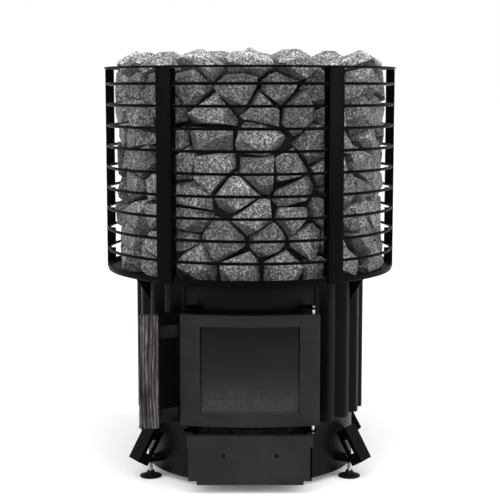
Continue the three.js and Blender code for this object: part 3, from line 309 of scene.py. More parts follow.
def stove_glass():
    """Glass ceramic, dark, clear and glossy, with blotches of soot. Its tint is painted pale low down as a
    reflection of the floor, and dark high up as shade.

    Its index is set below that of real glass, which would mirror too much of the white studio.
    """
    material, tree, space = new_material("sooty_glass_painted_reflection")
    soot = texture(tree, "Noise", space, 55, in_Detail=5.0)
    parts = add_node(tree, "ShaderNodeSeparateXYZ", {"Vector": space})
    height = measure(tree, (parts, "Z"), GLASS_GRADIENT_LOW, GLASS_GRADIENT_HIGH)
    # Painted reflection of the floor low down, painted shade high up
    painted_reflection = ramp(tree, height, [(0.0, tint("#bab6ba")), (0.45, tint("#777477")), (1.0, tint("#0e0d0e"))])
    blotch = ramp(tree, soot, [(0.35, grey(0.8)), (0.7, grey(1))])
    return finished(
        material,
        Base_Color=multiply(tree, painted_reflection, blotch),
        Roughness=spread(tree, soot, 0.02, 0.06),
        IOR=1.2,
        Transmission_Weight=0.96,
    )


def zinc_plate():
    """Bright zinc on turned and pressed steel: silver, slightly blue, finely streaked."""
    material, tree, space = new_material("bright_zinc_plated_steel")
    streak = texture(tree, "Noise", space, 3, in_Detail=4.0)
    return finished(
        material,
        Base_Color=ramp(tree, streak, [(0.3, tint("#9fa3a8")), (0.7, tint("#d9dce0"))]),
        Roughness=spread(tree, streak, 0.22, 0.42),
        Metallic=1.0,
    )


def galvanised_sheet():
    """Hot-dip galvanised sheet: grey crystals of slightly different tone, about 12 mm across."""
    material, tree, space = new_material("galvanised_sheet")
    spangle = texture(tree, "Voronoi", space, 12)[0]
    return finished(
        material,
        Base_Color=ramp(tree, (spangle, "Color"), [(0.1, tint("#7c8084")), (0.9, tint("#a9adb0"))]),
        Roughness=spread(tree, (spangle, "Distance"), 0.35, 0.55),
        Metallic=1.0,
    )


def cast_iron():
    """Sand-cast iron of the grate: dull, with a sandy skin. The bars in the grate's middle are painted pale
    as light falling on them through the glass, and the frame is black.
    """
    material, tree, space = new_material("sand_cast_iron")
    sand = texture(tree, "Noise", space, 3, in_Detail=4.0)
    ash = texture(tree, "Noise", space, 40, in_Detail=4.0)
    tone = ramp(tree, ash, [(0.35, tint("#1b1a1a")), (0.72, tint("#33312f"))])
    parts = add_node(tree, "ShaderNodeSeparateXYZ", {"Vector": space})
    depth = measure(tree, (parts, "Y"), -GRATE_REACH, GRATE_REACH)
    stops = [(0.0, grey(0))]
    for index, end in enumerate(GRATE_BAR_ENDS):
        stops.append(((end + GRATE_REACH) / (2 * GRATE_REACH), grey(1 - index % 2)))
    bars = ramp(tree, depth, stops)
    bars[0].color_ramp.interpolation = "CONSTANT"
    aside = add_node(tree, "ShaderNodeMath", {"Value": (parts, "X")}, operation="ABSOLUTE")
    within = measure(tree, (aside, "Value"), GRATE_BAR_SPAN, GRATE_BAR_SPAN - 1)
    # Painted light on the bars: they are pale, the frame dark
    links = {"Fac": multiply(tree, bars, within), "Color1": tone}
    bars_painted_light = add_node(tree, "ShaderNodeMixRGB", links, in_Color2=tint("#c4c0ba"))
    return finished(
        material,
        Base_Color=(bars_painted_light, "Color"),
        Normal=relief(tree, sand, 0.5, 0.5),
        Roughness=0.78,
    )


def glass_rope():
    """Braided glass-fibre rope, dyed dark: dull, with plaits about 5 mm long."""
    material, tree, space = new_material("braided_glass_rope")
    plait = texture(tree, "Voronoi", space, 5, "Distance")
    return finished(
        material,
        Base_Color=ramp(tree, plait, [(0.1, tint("#4b4845")), (0.7, tint("#1d1c1b"))]),
        Normal=relief(tree, plait, 0.8, 1.0, invert=True),
        Roughness=0.93,
    )


def foot_plastic():
    """Moulded black glass-filled nylon: matt, with a fine spark-eroded texture drawn at 1.5 mm to show."""
    material, tree, space = new_material("moulded_black_nylon")
    spark = texture(tree, "Noise", space, 1.5, in_Detail=2.0)
    return finished(
        material,
        Base_Color=ramp(tree, spark, [(0.35, tint("#060606")), (0.65, tint("#0e0e0f"))]),
        Normal=relief(tree, spark, 0.3, 0.2),
        Roughness=0.6,
        Specular_IOR_Level=0.15,
    )


def studio_floor():
    """Smooth pale studio floor, matt and faintly uneven. A little light of its own keeps shadows pale."""
    material, tree, space = new_material("pale_studio_floor")
    base = tuple(colours().floor)
    uneven = texture(tree, "Noise", space, 600, in_Detail=3.0)
    return finished(
        material,
        Base_Color=ramp(tree, uneven, [(0.3, shade(base, 0.985)), (0.7, shade(base, 1.0))]),
        Roughness=0.8,
        Emission_Color=grey(1),
        Emission_Strength=0.12,
    )


MAKERS = {
    "paint": stove_paint,
    "cage": flat_paint,
    "charcoal": textured_paint,
    "stone": split_stone,
    "core": packed_stone,
    "wood": stained_wood,
    "glass": stove_glass,
    "zinc": zinc_plate,
    "galvanised": galvanised_sheet,
    "iron": cast_iron,
    "rope": glass_rope,
    "foot": foot_plastic,
    "floor": studio_floor,
}
made_materials = {}


def finish_of(name):
    """The material of this finish, made once."""
    if name not in made_materials:
        made_materials[name] = MAKERS[name]()
    return made_materials[name]


# Modelling


BACKWARD = (-math.pi / 2, 0, 0)  # turns a piece's top to the back of the stove
FORWARD = (math.pi / 2, 0, 0)
UPRIGHT = (0, 0, 0)


def clear_selection():
    if bpy.context.mode != "OBJECT":
        bpy.ops.object.mode_set(mode="OBJECT")
    bpy.ops.object.select_all(action="DESELECT")


def make_active(piece):
    clear_selection()
    piece.select_set(True)
    bpy.context.view_layer.objects.active = piece


def draw(name, points):
    """Draws a chain of edges through the points (mm) from one vertex, and stays in edit mode."""
    path = [Vector(point) * MM for point in points]
    clear_selection()
    bpy.ops.mesh.primitive_plane_add(size=MM, location=(0, 0, 0))
    piece = bpy.context.object
    piece.name = name
    piece.data.name = name
    bpy.ops.object.mode_set(mode="EDIT")
    bpy.ops.mesh.select_all(action="SELECT")
    bpy.ops.mesh.merge(type="CENTER")
    bpy.ops.transform.translate(value=path[0])
    for before, after in zip(path, path[1:]):
        bpy.ops.mesh.extrude_region_move(TRANSFORM_OT_translate={"value": after - before})
    bpy.ops.mesh.select_all(action="SELECT")
    return piece


def close_mesh():
    bpy.ops.mesh.select_all(action="SELECT")
    bpy.ops.mesh.remove_doubles(threshold=0.002 * MM)
    bpy.ops.mesh.normals_make_consistent(inside=False)
    bpy.ops.object.mode_set(mode="OBJECT")


def plate(name, outline, depth):
    """A closed outline (mm) filled and extruded by a depth vector (mm)."""
    piece = draw(name, outline)
    bpy.ops.mesh.edge_face_add()
    bpy.ops.mesh.extrude_region_move(TRANSFORM_OT_translate={"value": Vector(depth) * MM})
    close_mesh()
    return piece


def turned(name, profile, steps):
    """A profile of (radius, height) points (mm) spun round Z, closed first if it is clear of the axis."""
    path = [(r, 0, z) for r, z in profile]
    if profile[0][0] > 0 or profile[-1][0] > 0:
        path.append(path[0])
    piece = draw(name, path)
    bpy.ops.mesh.spin(steps=steps, angle=2 * math.pi, center=(0, 0, 0), axis=(0, 0, 1))
    close_mesh()
    return piece


def ring(name, inner, outer, low, high, steps):
    """A plain ring round Z (mm), or a solid rod where the inner radius is 0."""
    return turned(name, [(inner, low), (outer, low), (outer, high), (inner, high)], steps)


def block(name, low, high):
    """A box between two corners (mm)."""
    clear_selection()
    middle = (Vector(low) + Vector(high)) / 2 * MM
    size = (Vector(high) - Vector(low)) * MM
    bpy.ops.mesh.primitive_cube_add(size=1, location=middle, scale=size)
    piece = bpy.context.object
    piece.name = name
    piece.data.name = name
    settle(piece)
    return piece


def settle(piece):
    """Puts a piece's place, turn and scale into its mesh."""
    make_active(piece)
    bpy.ops.object.transform_apply(location=True, rotation=True, scale=True)


def placed(piece, place, turn=UPRIGHT):
    """Moves a piece to its place (mm), turned first (radians)."""
    piece.rotation_euler = turn
    piece.location = Vector(place) * MM
    settle(piece)
    return piece


def apply_modifier(piece, kind, **settings):
    make_active(piece)
    modifier = piece.modifiers.new(kind.lower(), kind)
    for key, value in settings.items():
        setattr(modifier, key, value)
    bpy.ops.object.modifier_apply(modifier=modifier.name)


def cut(piece, *tools):
    for tool in tools:
        apply_modifier(piece, "BOOLEAN", operation="DIFFERENCE", solver="EXACT", object=tool)
        bpy.data.objects.remove(tool)


def fuse(piece, *others):
    for other in others:
        apply_modifier(piece, "BOOLEAN", operation="UNION", solver="EXACT", object=other)
        bpy.data.objects.remove(other)


def break_edges(piece, width, segments=2, angle=32):
    apply_modifier(
        piece,
        "BEVEL",
        width=width,
        segments=segments,
        limit_method="ANGLE",
        angle_limit=math.radians(angle),
        harden_normals=False,
    )
    smooth(piece)


def smooth(piece, angle=32):
    make_active(piece)
    bpy.ops.object.shade_smooth_by_angle(angle=math.radians(angle))


def dress(piece, finish, body, slot, *nodes):
    """Gives a finished piece its material and body, and hides the solids that it stands for."""
    piece.data.materials.clear()
    piece.data.materials.append(finish_of(finish))
    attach(piece, body)
    if nodes:
        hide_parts(*nodes)


def small_part(name, profile, steps, place, turn, *dressing):
    """A small turned part at its place, such as a screw or a pin, dressed as the rest says."""
    piece = placed(turned(name, profile, steps), place, turn)
    smooth(piece)
    dress(piece, *dressing)


def repaint(node, finish):
    """Gives a solid that stays in view its finish."""
    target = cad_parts[node]
    for socket in target.material_slots:
        socket.material = finish_of(finish)


def copy_of(piece, name, azimuth=0, mirrored=False):
    """A copy of a piece made at the front, mirrored first where asked, turned to an azimuth (degrees)."""
    make_active(piece)
    bpy.ops.object.duplicate()
    other = bpy.context.object
    other.name = name
    other.data.name = name
    if mirrored:
        other.scale.x = -1
        settle(other)
        bpy.ops.object.mode_set(mode="EDIT")
        bpy.ops.mesh.select_all(action="SELECT")
        bpy.ops.mesh.normals_make_consistent(inside=False)
        bpy.ops.object.mode_set(mode="OBJECT")
    other.rotation_euler.z = math.radians(azimuth)
    settle(other)
    return other


def drop(piece):
    bpy.data.objects.remove(piece)


def join(pieces):
    clear_selection()
    for piece in pieces:
        piece.select_set(True)
    bpy.context.view_layer.objects.active = pieces[0]
    bpy.ops.object.join()
    return pieces[0]


# Outlines


def at(radius, azimuth, z=0):
    """A point (mm) at an azimuth in degrees from the front."""
    angle = math.radians(azimuth)
    return Vector((radius * math.sin(angle), -radius * math.cos(angle), z))


def arc(radius, start, end, steps, z=0):
    return [at(radius, start + (end - start) * i / steps, z) for i in range(steps + 1)]


def arc_band(inner, outer, start, end, steps, z):
    return arc(outer, start, end, steps, z) + arc(inner, end, start, steps, z)


def rounded(points, radius, steps=4):
    """Rounds the inner corners of an open chain of points."""
    result = [points[0]]
    for before, corner, after in zip(points, points[1:], points[2:]):
        reach = min(radius, (before - corner).length / 2.2, (after - corner).length / 2.2)
        start = corner + (before - corner).normalized() * reach
        end = corner + (after - corner).normalized() * reach
        for i in range(steps + 1):
            t = i / steps
            result.append(start * (1 - t) ** 2 + corner * 2 * t * (1 - t) + end * t**2)
    result.append(points[-1])
    return result


# The door's curves run round an upright axis behind the stove's middle
DOOR_CENTRE = 260
WINDOW_HALF = 97.5
JAMB_STEPS = 4
PANE_STEPS = 20


def door_arc(curve, half, z):
    """Points across the door on one of its curves, left to right, with one at each side of the window."""
    jamb = [half + (WINDOW_HALF - half) * i / JAMB_STEPS for i in range(JAMB_STEPS)]
    pane = [WINDOW_HALF * (1 - 2 * i / PANE_STEPS) for i in range(PANE_STEPS + 1)]
    across = [-x for x in jamb + pane] + jamb[::-1]
    return [Vector((x, DOOR_CENTRE - math.sqrt(curve**2 - x**2), z)) for x in across]


def door_band(name, outer, inner, half, low, high):
    outline = door_arc(outer, half, low) + door_arc(inner, half, low)[::-1]
    return plate(name, outline, (0, 0, high - low))


# Pieces: lengths in mm and turns in degrees. A ring's four numbers are its radii and its ends, and a door
# band's five are its outer and inner curve, half its width, and its ends.


class StovePiece:
    bl_options = {"REGISTER", "UNDO"}


class STOVE_OT_body(StovePiece, bpy.types.Operator):
    """Models the round body and the flue collar, and finishes the solids inside the firebox"""

    bl_idname = "stove.body"
    bl_label = "Body"

    wall = (212, 216, 14, 415)
    base = (0, 211.7, 14, 18)
    throat = ((-104.3, -240, 145.2), (104.3, -20, 345.8))
    drawer_room = ((-115, -240, 18.3), (115, -20, 127.5))
    flue = (0, 0, 345)
    flue_room = (0, 57.8, 0, 230)
    collar = (54, 57.5, 208, 290)
    bead_start = 226
    bead_length = 5
    bead_rise = 2.5
    finishes = {
        "iron": ("grate_front", "grate_rear"),
        # The throat above the door gets the deepest black as painted shade under the cage
        "cage": ("heat_drum", "door_throat", "firebox_floor"),
        "zinc": ("ash_runner_left", "ash_runner_right", "door_catch"),
    }

    def collar_profile(self):
        """The collar's section, with a rolled bead near the wall."""
        inner, outer, start, end = self.collar
        profile = [(inner, start), (outer, start)]
        for i in range(7):
            rise = self.bead_rise * math.sin(math.pi * i / 6)
            profile.append((outer + rise, self.bead_start + self.bead_length * i / 6))
        return profile + [(outer, end), (inner, end)]

    def execute(self, context):
        shell = ring("body_wall", *self.wall, 160)
        hole = placed(ring("flue_hole", *self.flue_room, 48), self.flue, BACKWARD)
        cut(shell, block("throat_hole", *self.throat), block("drawer_hole", *self.drawer_room), hole)
        break_edges(shell, sizes().edge)
        dress(shell, "paint", "stove", "black_paint", "body_shell")
        collar = placed(turned("flue_pipe_collar", self.collar_profile(), 72), self.flue, BACKWARD)
        break_edges(collar, 0.8 * MM)
        dress(collar, "paint", "stove", "black_paint", "flue_collar")
        base = ring("base_disc", *self.base, 96)
        break_edges(base, sizes().edge)
        dress(base, "paint", "stove", "black_paint", "base_plate")
        for finish, nodes in self.finishes.items():
            for node in nodes:
                repaint(node, finish)
        return {"FINISHED"}


class STOVE_OT_ribs(StovePiece, bpy.types.Operator):
    """Models the corrugated jackets on both sides of the body"""

    bl_idname = "stove.ribs"
    bl_label = "Rib jackets"

    first = 43.5
    pitch = 12.5
    count = 8
    margin = 7.28
    low = 129
    high = 419.3
    outside = (218.3, 238, 4.79, 1.93)
    inside = (216.4, 236, 4.5, 1.6)

    def surface(self, valley, crest, foot, half_crest):
        """A side of the sheet in plan: radii in mm, and half of each rib's foot and crest in degrees."""
        end = self.first + (self.count - 1) * self.pitch + self.margin
        points = [at(valley, self.first - self.margin, self.low)]
        for rib in range(self.count):
            middle = self.first + rib * self.pitch
            points.append(at(valley, middle - foot, self.low))
            points.append(at(crest, middle - half_crest, self.low))
            points.append(at(crest, middle + half_crest, self.low))
            points.append(at(valley, middle + foot, self.low))
        points.append(at(valley, end, self.low))
        return points

    def execute(self, context):
        bend = sizes().rib_bend / MM
        outer = rounded(self.surface(*self.outside), bend)
        inner = rounded(self.surface(*self.inside), bend)
        right = plate("ribs_right", outer + inner[::-1], (0, 0, self.high - self.low))
        break_edges(right, 0.35 * MM, 1, 60)
        smooth(right, 25)
        left = copy_of(right, "ribs_left", mirrored=True)
        smooth(left, 25)
        dress(right, "paint", "stove", "black_paint", "rib_jacket_right")
        dress(left, "paint", "stove", "black_paint", "rib_jacket_left")
        return {"FINISHED"}


class STOVE_OT_cage(StovePiece, bpy.types.Operator):
    """Models the stone cage: its pan, ring rods, rim, posts and gussets"""

    bl_idname = "stove.cage"
    bl_label = "Stone cage"

    outer = 300
    sheet = 3
    low = 419.6
    rods = 9
    rod_top = 801
    rod_pitch = 42.2
    rod_ring = 293.7
    rod_sides = 12
    round_steps = 144
    post_width = 35
    post_high = 830.7
    post_azimuths = (30, 90, 150)
    comb_inner = 282
    comb_outer = 298.5
    comb_low = 431.9
    notch = 3.3
    rim = (282, 300, 831, 835)
    pan_outer = 296.7
    pan_hole = 155
    pan_high = 431.6
    pan_bend = 3.5
    gusset_outline = ((218.6, 347), (262.6, 415.3), (262.6, 419.3), (218.6, 419.3))
    gusset_azimuths = (62.25, 124.75)

    def rod_height(self, index):
        return self.rod_top - self.rod_pitch * index

    def rod(self, index):
        radius = sizes().rod / MM / 2
        section = []
        for i in range(self.rod_sides):
            angle = 2 * math.pi * i / self.rod_sides
            z = self.rod_height(index) + radius * math.sin(angle)
            section.append((self.rod_ring + radius * math.cos(angle), z))
        piece = turned(f"ring_rod_{index + 1}", section, self.round_steps)
        smooth(piece, 60)
        dress(piece, "cage", "stove", "black_paint", f"cage_rod_{index + 1}")

    def post(self):
        """A curved strip at the front with a flange whose notches take the rods."""
        turn = math.degrees(self.post_width / self.outer)
        strip = arc_band(self.outer - self.sheet, self.outer, 0, turn, 6, self.low)
        face = plate("post_face", strip, (0, 0, self.post_high - self.low))
        outline = [(self.comb_outer, self.post_high), (self.comb_inner, self.post_high)]
        for index in range(self.rods):
            z = self.rod_height(index)
            outline.append((self.comb_inner, z + self.notch))
            for i in range(9):
                angle = math.pi / 2 + math.pi * i / 8
                depth = self.rod_ring - self.notch * math.cos(angle)
                outline.append((depth, z + self.notch * math.sin(angle)))
            outline.append((self.comb_inner, z - self.notch))
        outline += [(self.comb_inner, self.comb_low), (self.comb_outer, self.comb_low)]
        flange = plate("post_flange", [(0, -r, z) for r, z in outline], (self.sheet, 0, 0))
        fuse(face, flange)
        break_edges(face, 0.6 * MM)
        return face

    def gusset(self):
        outline = [(0, -r, z) for r, z in self.gusset_outline]
        piece = placed(plate("gusset", outline, (self.sheet, 0, 0)), (-self.sheet / 2, 0, 0))
        break_edges(piece, 0.6 * MM)
        return piece

    def pairs(self, kind, piece, azimuths, mirrored):
        """Copies a piece to each azimuth on the right and on the left, where it may be mirrored."""
        for index, azimuth in enumerate(azimuths, 1):
            for side, turn in (("right", azimuth), ("left", -azimuth)):
                copy = copy_of(piece, f"{kind}_{side}_{index}", turn, mirrored and side == "left")
                dress(copy, "cage", "stove", "black_paint", f"cage_{kind}_{side}_{index}")
        drop(piece)

    def pan_profile(self):
        inner = self.pan_outer - self.sheet
        floor = self.low + self.sheet
        profile = [(inner, self.pan_high), (inner, floor), (self.pan_hole, floor), (self.pan_hole, self.low)]
        for angle in (0, 0.5, 1.0, 1.4):
            r = self.pan_outer - self.pan_bend + self.pan_bend * math.sin(angle)
            profile.append((r, self.low + self.pan_bend - self.pan_bend * math.cos(angle)))
        return profile + [(self.pan_outer, self.pan_high)]

    def execute(self, context):
        pan = turned("stone_pan", self.pan_profile(), self.round_steps)
        break_edges(pan, 0.6 * MM)
        dress(pan, "cage", "stove", "black_paint", "cage_floor")
        rim = ring("rim_ring", *self.rim, self.round_steps)
        break_edges(rim, 1.0 * MM)
        dress(rim, "cage", "stove", "black_paint", "cage_rim")
        for index in range(self.rods):
            self.rod(index)
        self.pairs("post", self.post(), self.post_azimuths, True)
        self.pairs("gusset", self.gusset(), self.gusset_azimuths, False)
        return {"FINISHED"}


class STOVE_OT_stones(StovePiece, bpy.types.Operator):
    """Splits and piles the stones: a wall of them inside the rods and a loose heap on top"""

    bl_idname = "stove.stones"
    bl_label = "Stones"

    face = 280.5
    margin = 0.5
    low = 422.9
    wall_top = 819
    heap_middle = 840
    heap_top = 870
    core = (156, 240, 422.9, 815)
    core_lid = (0, 158, 700, 815)
    heap_low = 803
    rows = 8
    least_in_row = 18
    rings = ((0, 1), (0.292, 6), (0.57, 11), (0.841, 17))
    first_in_wall = 1000
    first_loose = 5000
    keys_per_row = 100
    reach = 150
    rock = 190
    half_depth = 22.5
    depth = 58.5
    push = 8
    shift = 0.6
    lift = 0.44
    inset = 3.5
    uneven = 9
    lean = 0.5
    wall_breaks = (4, 42, 20)
    heap_shift = 0.5
    heap_lift = 14
    heap_inset = 8
    heap_uneven = 8
    heap_breaks = (5, 22, 18)
    tilt_span = 25
    break_span = 9
    slant = 0.32
    least_gap = 0.4
    gap_span = 1.4
    # Each pair: a stone's darkest tone, then how much painted light and shade a face gets as it turns up or
    # down; the heap starts lighter than the wall
    wall_tone_and_shade = (0.6, 0.75)
    heap_tone_and_shade = (1.1, 0.8)
    tone_span = 0.6
    warmth = 0.05

    def chance(self, seed):
        """A repeatable number from 0 to 1 for each seed, the same one that shapes the solid."""
        wave = math.sin(seed * 12.9898) * 43758.5453
        return wave - math.floor(wave)

    def either_way(self, seed):
        return self.chance(seed) - 0.5

    def wall_seeds(self):
        """The middles of the stones in the wall, row by row, with the key of each."""
        seeds = []
        height = (self.wall_top - self.low) / self.rows
        for row in range(self.rows):
            count = self.least_in_row + math.floor(3 * self.chance(row * 17.3 + 2))
            start = 360 * self.chance(row * 5.7 + 1)
            for place in range(count):
                key = self.first_in_wall + row * self.keys_per_row + place
                azimuth = start + (place + self.shift * self.either_way(key + 0.1)) * 360 / count
                z = self.low + (row + 0.5 + self.lift * self.either_way(key + 0.2)) * height
                radius = self.face - self.half_depth + self.push * self.chance(key + 0.3)
                seeds.append((at(radius, azimuth, z), key))
        return seeds

    def heap_seeds(self):
        """The middles of the loose stones on top, ring by ring, with the key of each."""
        seeds = []
        for row, (share, count) in enumerate(self.rings):
            for place in range(count):
                key = self.first_loose + row * self.keys_per_row + place
                azimuth = (place + self.heap_shift * self.either_way(key + 0.1)) * 360 / count
                z = self.heap_middle + self.heap_lift * self.either_way(key + 0.2)
                seeds.append((at(share * self.face, azimuth, z), key))
        return seeds

    def breaks(self, middle, key, axis, side, up, count, least_tilt, nearest):
        """Cuts that knock the corners off the side of a stone that faces along an axis."""
        cuts = []
        for index in range(count):
            own = key + index * 3.7
            turn = (index + self.chance(own + 0.4)) / count * 2 * math.pi
            tilt = math.radians(least_tilt + self.tilt_span * self.chance(own + 0.5))
            across = side * math.cos(turn) + up * math.sin(turn)
            normal = axis * math.cos(tilt) + across * math.sin(tilt)
            cuts.append((middle + normal * (nearest + self.break_span * self.chance(own + 0.6)), normal))
        return cuts

    def wall_cuts(self, middle, key):
        up = Vector((0, 0, 1))
        out = Vector((middle.x, middle.y, 0)).normalized()
        side = Vector((-out.y, out.x, 0))
        height = up * middle.z
        sideways = side * self.lean * self.either_way(key + 0.7)
        upwards = up * self.lean * self.either_way(key + 0.8)
        face = self.face - self.inset - self.uneven * self.chance(key + 0.9)
        return [
            (height + out * face, (out + sideways + upwards).normalized()),
            (height + out * (self.face - self.margin), out),
            (height + out * (self.face - self.depth), -out),
            (up * self.low, -up),
            *self.breaks(middle, key, out, side, up, *self.wall_breaks),
        ]

    def heap_cuts(self, middle, key):
        up = Vector((0, 0, 1))
        cuts = [
            (up * (self.heap_top - self.heap_uneven * self.chance(key + 0.7)), up),
            (up * self.heap_low, -up),
            *self.breaks(middle, key, up, Vector((1, 0, 0)), Vector((0, 1, 0)), *self.heap_breaks),
        ]
        out = Vector((middle.x, middle.y, 0))
        if out.length > 1:
            out.normalize()
            cuts.append((out * (self.face - self.heap_inset), out))
        return cuts

    def neighbour_cuts(self, middle, key, seeds):
        """Cuts about half-way to each neighbour, drawn back by half a gap and each leaning its own way."""
        gap = sizes().stone_gap / MM
        cuts = []
        for other, other_key in seeds:
            apart = other - middle
            distance = apart.length
            if 0 < distance < self.reach:
                own = key * 0.37 + other_key * 0.73
                lean = Vector([self.either_way(own + i) for i in range(3)])
                normal = apart / distance
                near = (distance - gap * (self.least_gap + self.gap_span * self.chance(own + 3))) / 2
                cuts.append((middle + normal * near, (normal + lean * self.slant).normalized()))
        return cuts

    def split(self, name, middle, cuts):
        """One stone: a block of rock cut down by planes, each a point and an outward normal."""
        clear_selection()
        bpy.ops.mesh.primitive_cube_add(size=self.rock * MM, location=middle * MM)
        stone = bpy.context.object
        stone.name = name
        settle(stone)
        bpy.ops.object.mode_set(mode="EDIT")
        for point, normal in cuts:
            bpy.ops.mesh.select_all(action="SELECT")
            bpy.ops.mesh.bisect(plane_co=point * MM, plane_no=normal, use_fill=True, clear_outer=True)
        bpy.ops.object.mode_set(mode="OBJECT")
        return stone

    def tint_faces(self, stone, key):
        """Marks a stone's faces with its own tone and with painted light and shade: lighter on faces turned
        up, darker on faces turned down.
        """
        darkest, painted_facing_light = self.heap_tone_and_shade if key >= self.first_loose else self.wall_tone_and_shade
        tone = darkest + self.tone_span * self.chance(key + 0.15)
        warm = self.warmth * self.either_way(key + 0.25)
        layer = stone.data.attributes.new("stone_tone_and_shade", "FLOAT_COLOR", "FACE")
        for face, mark in zip(stone.data.polygons, layer.data):
            # Painted light and shade: lighter where the face turns up, darker where it turns down
            tone_with_painted_light = tone * (1 + painted_facing_light * face.normal.z)
            mark.color = (tone_with_painted_light * (1 + warm), tone_with_painted_light, tone_with_painted_light * (1 - warm), 1)

    def execute(self, context):
        seeds = self.wall_seeds() + self.heap_seeds()
        stones = []
        for middle, key in seeds:
            own = self.wall_cuts(middle, key) if key < self.first_loose else self.heap_cuts(middle, key)
            stone = self.split(f"stone_{key}", middle, own + self.neighbour_cuts(middle, key, seeds))
            if len(stone.data.polygons) < 4:
                drop(stone)
                continue
            self.tint_faces(stone, key)
            stones.append(stone)
        pile = join(stones)
        pile.name = "stone_pile"
        pile.data.name = "stone_pile"
        break_edges(pile, sizes().stone_edge, 2, 14)
        smooth(pile, 22)
        dress(pile, "stone", "stove", "split_stone", "stone_charge")
        core = ring("packed_core", *self.core, 72)
        fuse(core, ring("packed_lid", *self.core_lid, 48))
        break_edges(core, 1 * MM, 1)
        dress(core, "core", "stove", "split_stone")
        return {"FINISHED"}


class STOVE_OT_door(StovePiece, bpy.types.Operator):
    """Models the curved door pan, its glass and the hinge pins, and finishes the seals"""

    bl_idname = "stove.door"
    bl_label = "Door"

    pan = (500, 482, 137, 133.5, 355.5)
    hollow = (497, 464, 134, 136.5, 352.5)
    window = ((-WINDOW_HALF, -300, 159), (WINDOW_HALF, -100, 332))
    pane = (494.6, 490.6, 108, 148.5, 342.5)
    pin = (124, -215.08, 0)
    pin_room = (0, 3.3, 120, 370)
    arm_slot = ((-142, -216.2), (-128, -211.6))
    arm_slot_height = 25.6
    arm_slot_lows = (310.2, 145.7)
    retainer_back = 488.3
    screw_aside = 110.5
    screw_heights = (165, 245.5, 326)
    screw_seat = 0.1

    def hinge_pin(self, name, node, head, seat, tip):
        """A pin with its head from the top to the seat and its shank from there to the tip (heights)."""
        step = 1 if tip > seat else -1
        profile = [(0, head), (4.4, head), (5, head + step * 0.6), (5, seat - step * 0.6), (4.6, seat)]
        profile += [(3, seat), (3, tip - step * 0.8), (2.2, tip), (0, tip)]
        small_part(name, profile, 32, self.pin, UPRIGHT, "zinc", "door", "zinc_steel", node)

    def retainer_screws(self):
        """Six pan-head screws that hold the glass retainer from the back."""
        head = [(0, 0), (2.5, 0), (2.5, 0.7), (1.9, 1.5), (1.0, 1.8), (0.8, 1.0), (0, 1.0)]
        turn = math.asin(self.screw_aside / self.retainer_back)
        depth = DOOR_CENTRE - self.retainer_back * math.cos(turn) + self.screw_seat
        places = [(side, z) for side in (-1, 1) for z in self.screw_heights]
        for index, (side, z) in enumerate(places, 1):
            place = (side * self.screw_aside, depth, z)
            facing = (-math.pi / 2, 0, side * turn)
            small_part(f"retainer_screw_{index}", head, 16, place, facing, "zinc", "door", "zinc_steel")

    def execute(self, context):
        pan = door_band("door_pan", *self.pan)
        hollow = door_band("hollow", *self.hollow)
        window = block("window", *self.window)
        hole = placed(ring("pin_hole", *self.pin_room, 24), self.pin)
        near, far = self.arm_slot
        slots = [
            block("arm_slot", (*near, low), (*far, low + self.arm_slot_height))
            for low in self.arm_slot_lows
        ]
        cut(pan, hollow, window, hole, *slots)
        break_edges(pan, 1.1 * MM, 3)
        dress(pan, "charcoal", "door", "black_paint", "door_frame")
        glass = door_band("door_pane", *self.pane)
        break_edges(glass, 0.5 * MM, 1)
        dress(glass, "glass", "door", "door_glass", "door_glass")
        for node in ("glass_seal", "door_seal"):
            repaint(node, "rope")
        repaint("glass_retainer", "paint")
        self.retainer_screws()
        self.hinge_pin("upper_pin", "hinge_pin_upper", 347.2, 352.2, 371.5)
        self.hinge_pin("lower_pin", "hinge_pin_lower", 141.8, 136.8, 116.3)
        return {"FINISHED"}


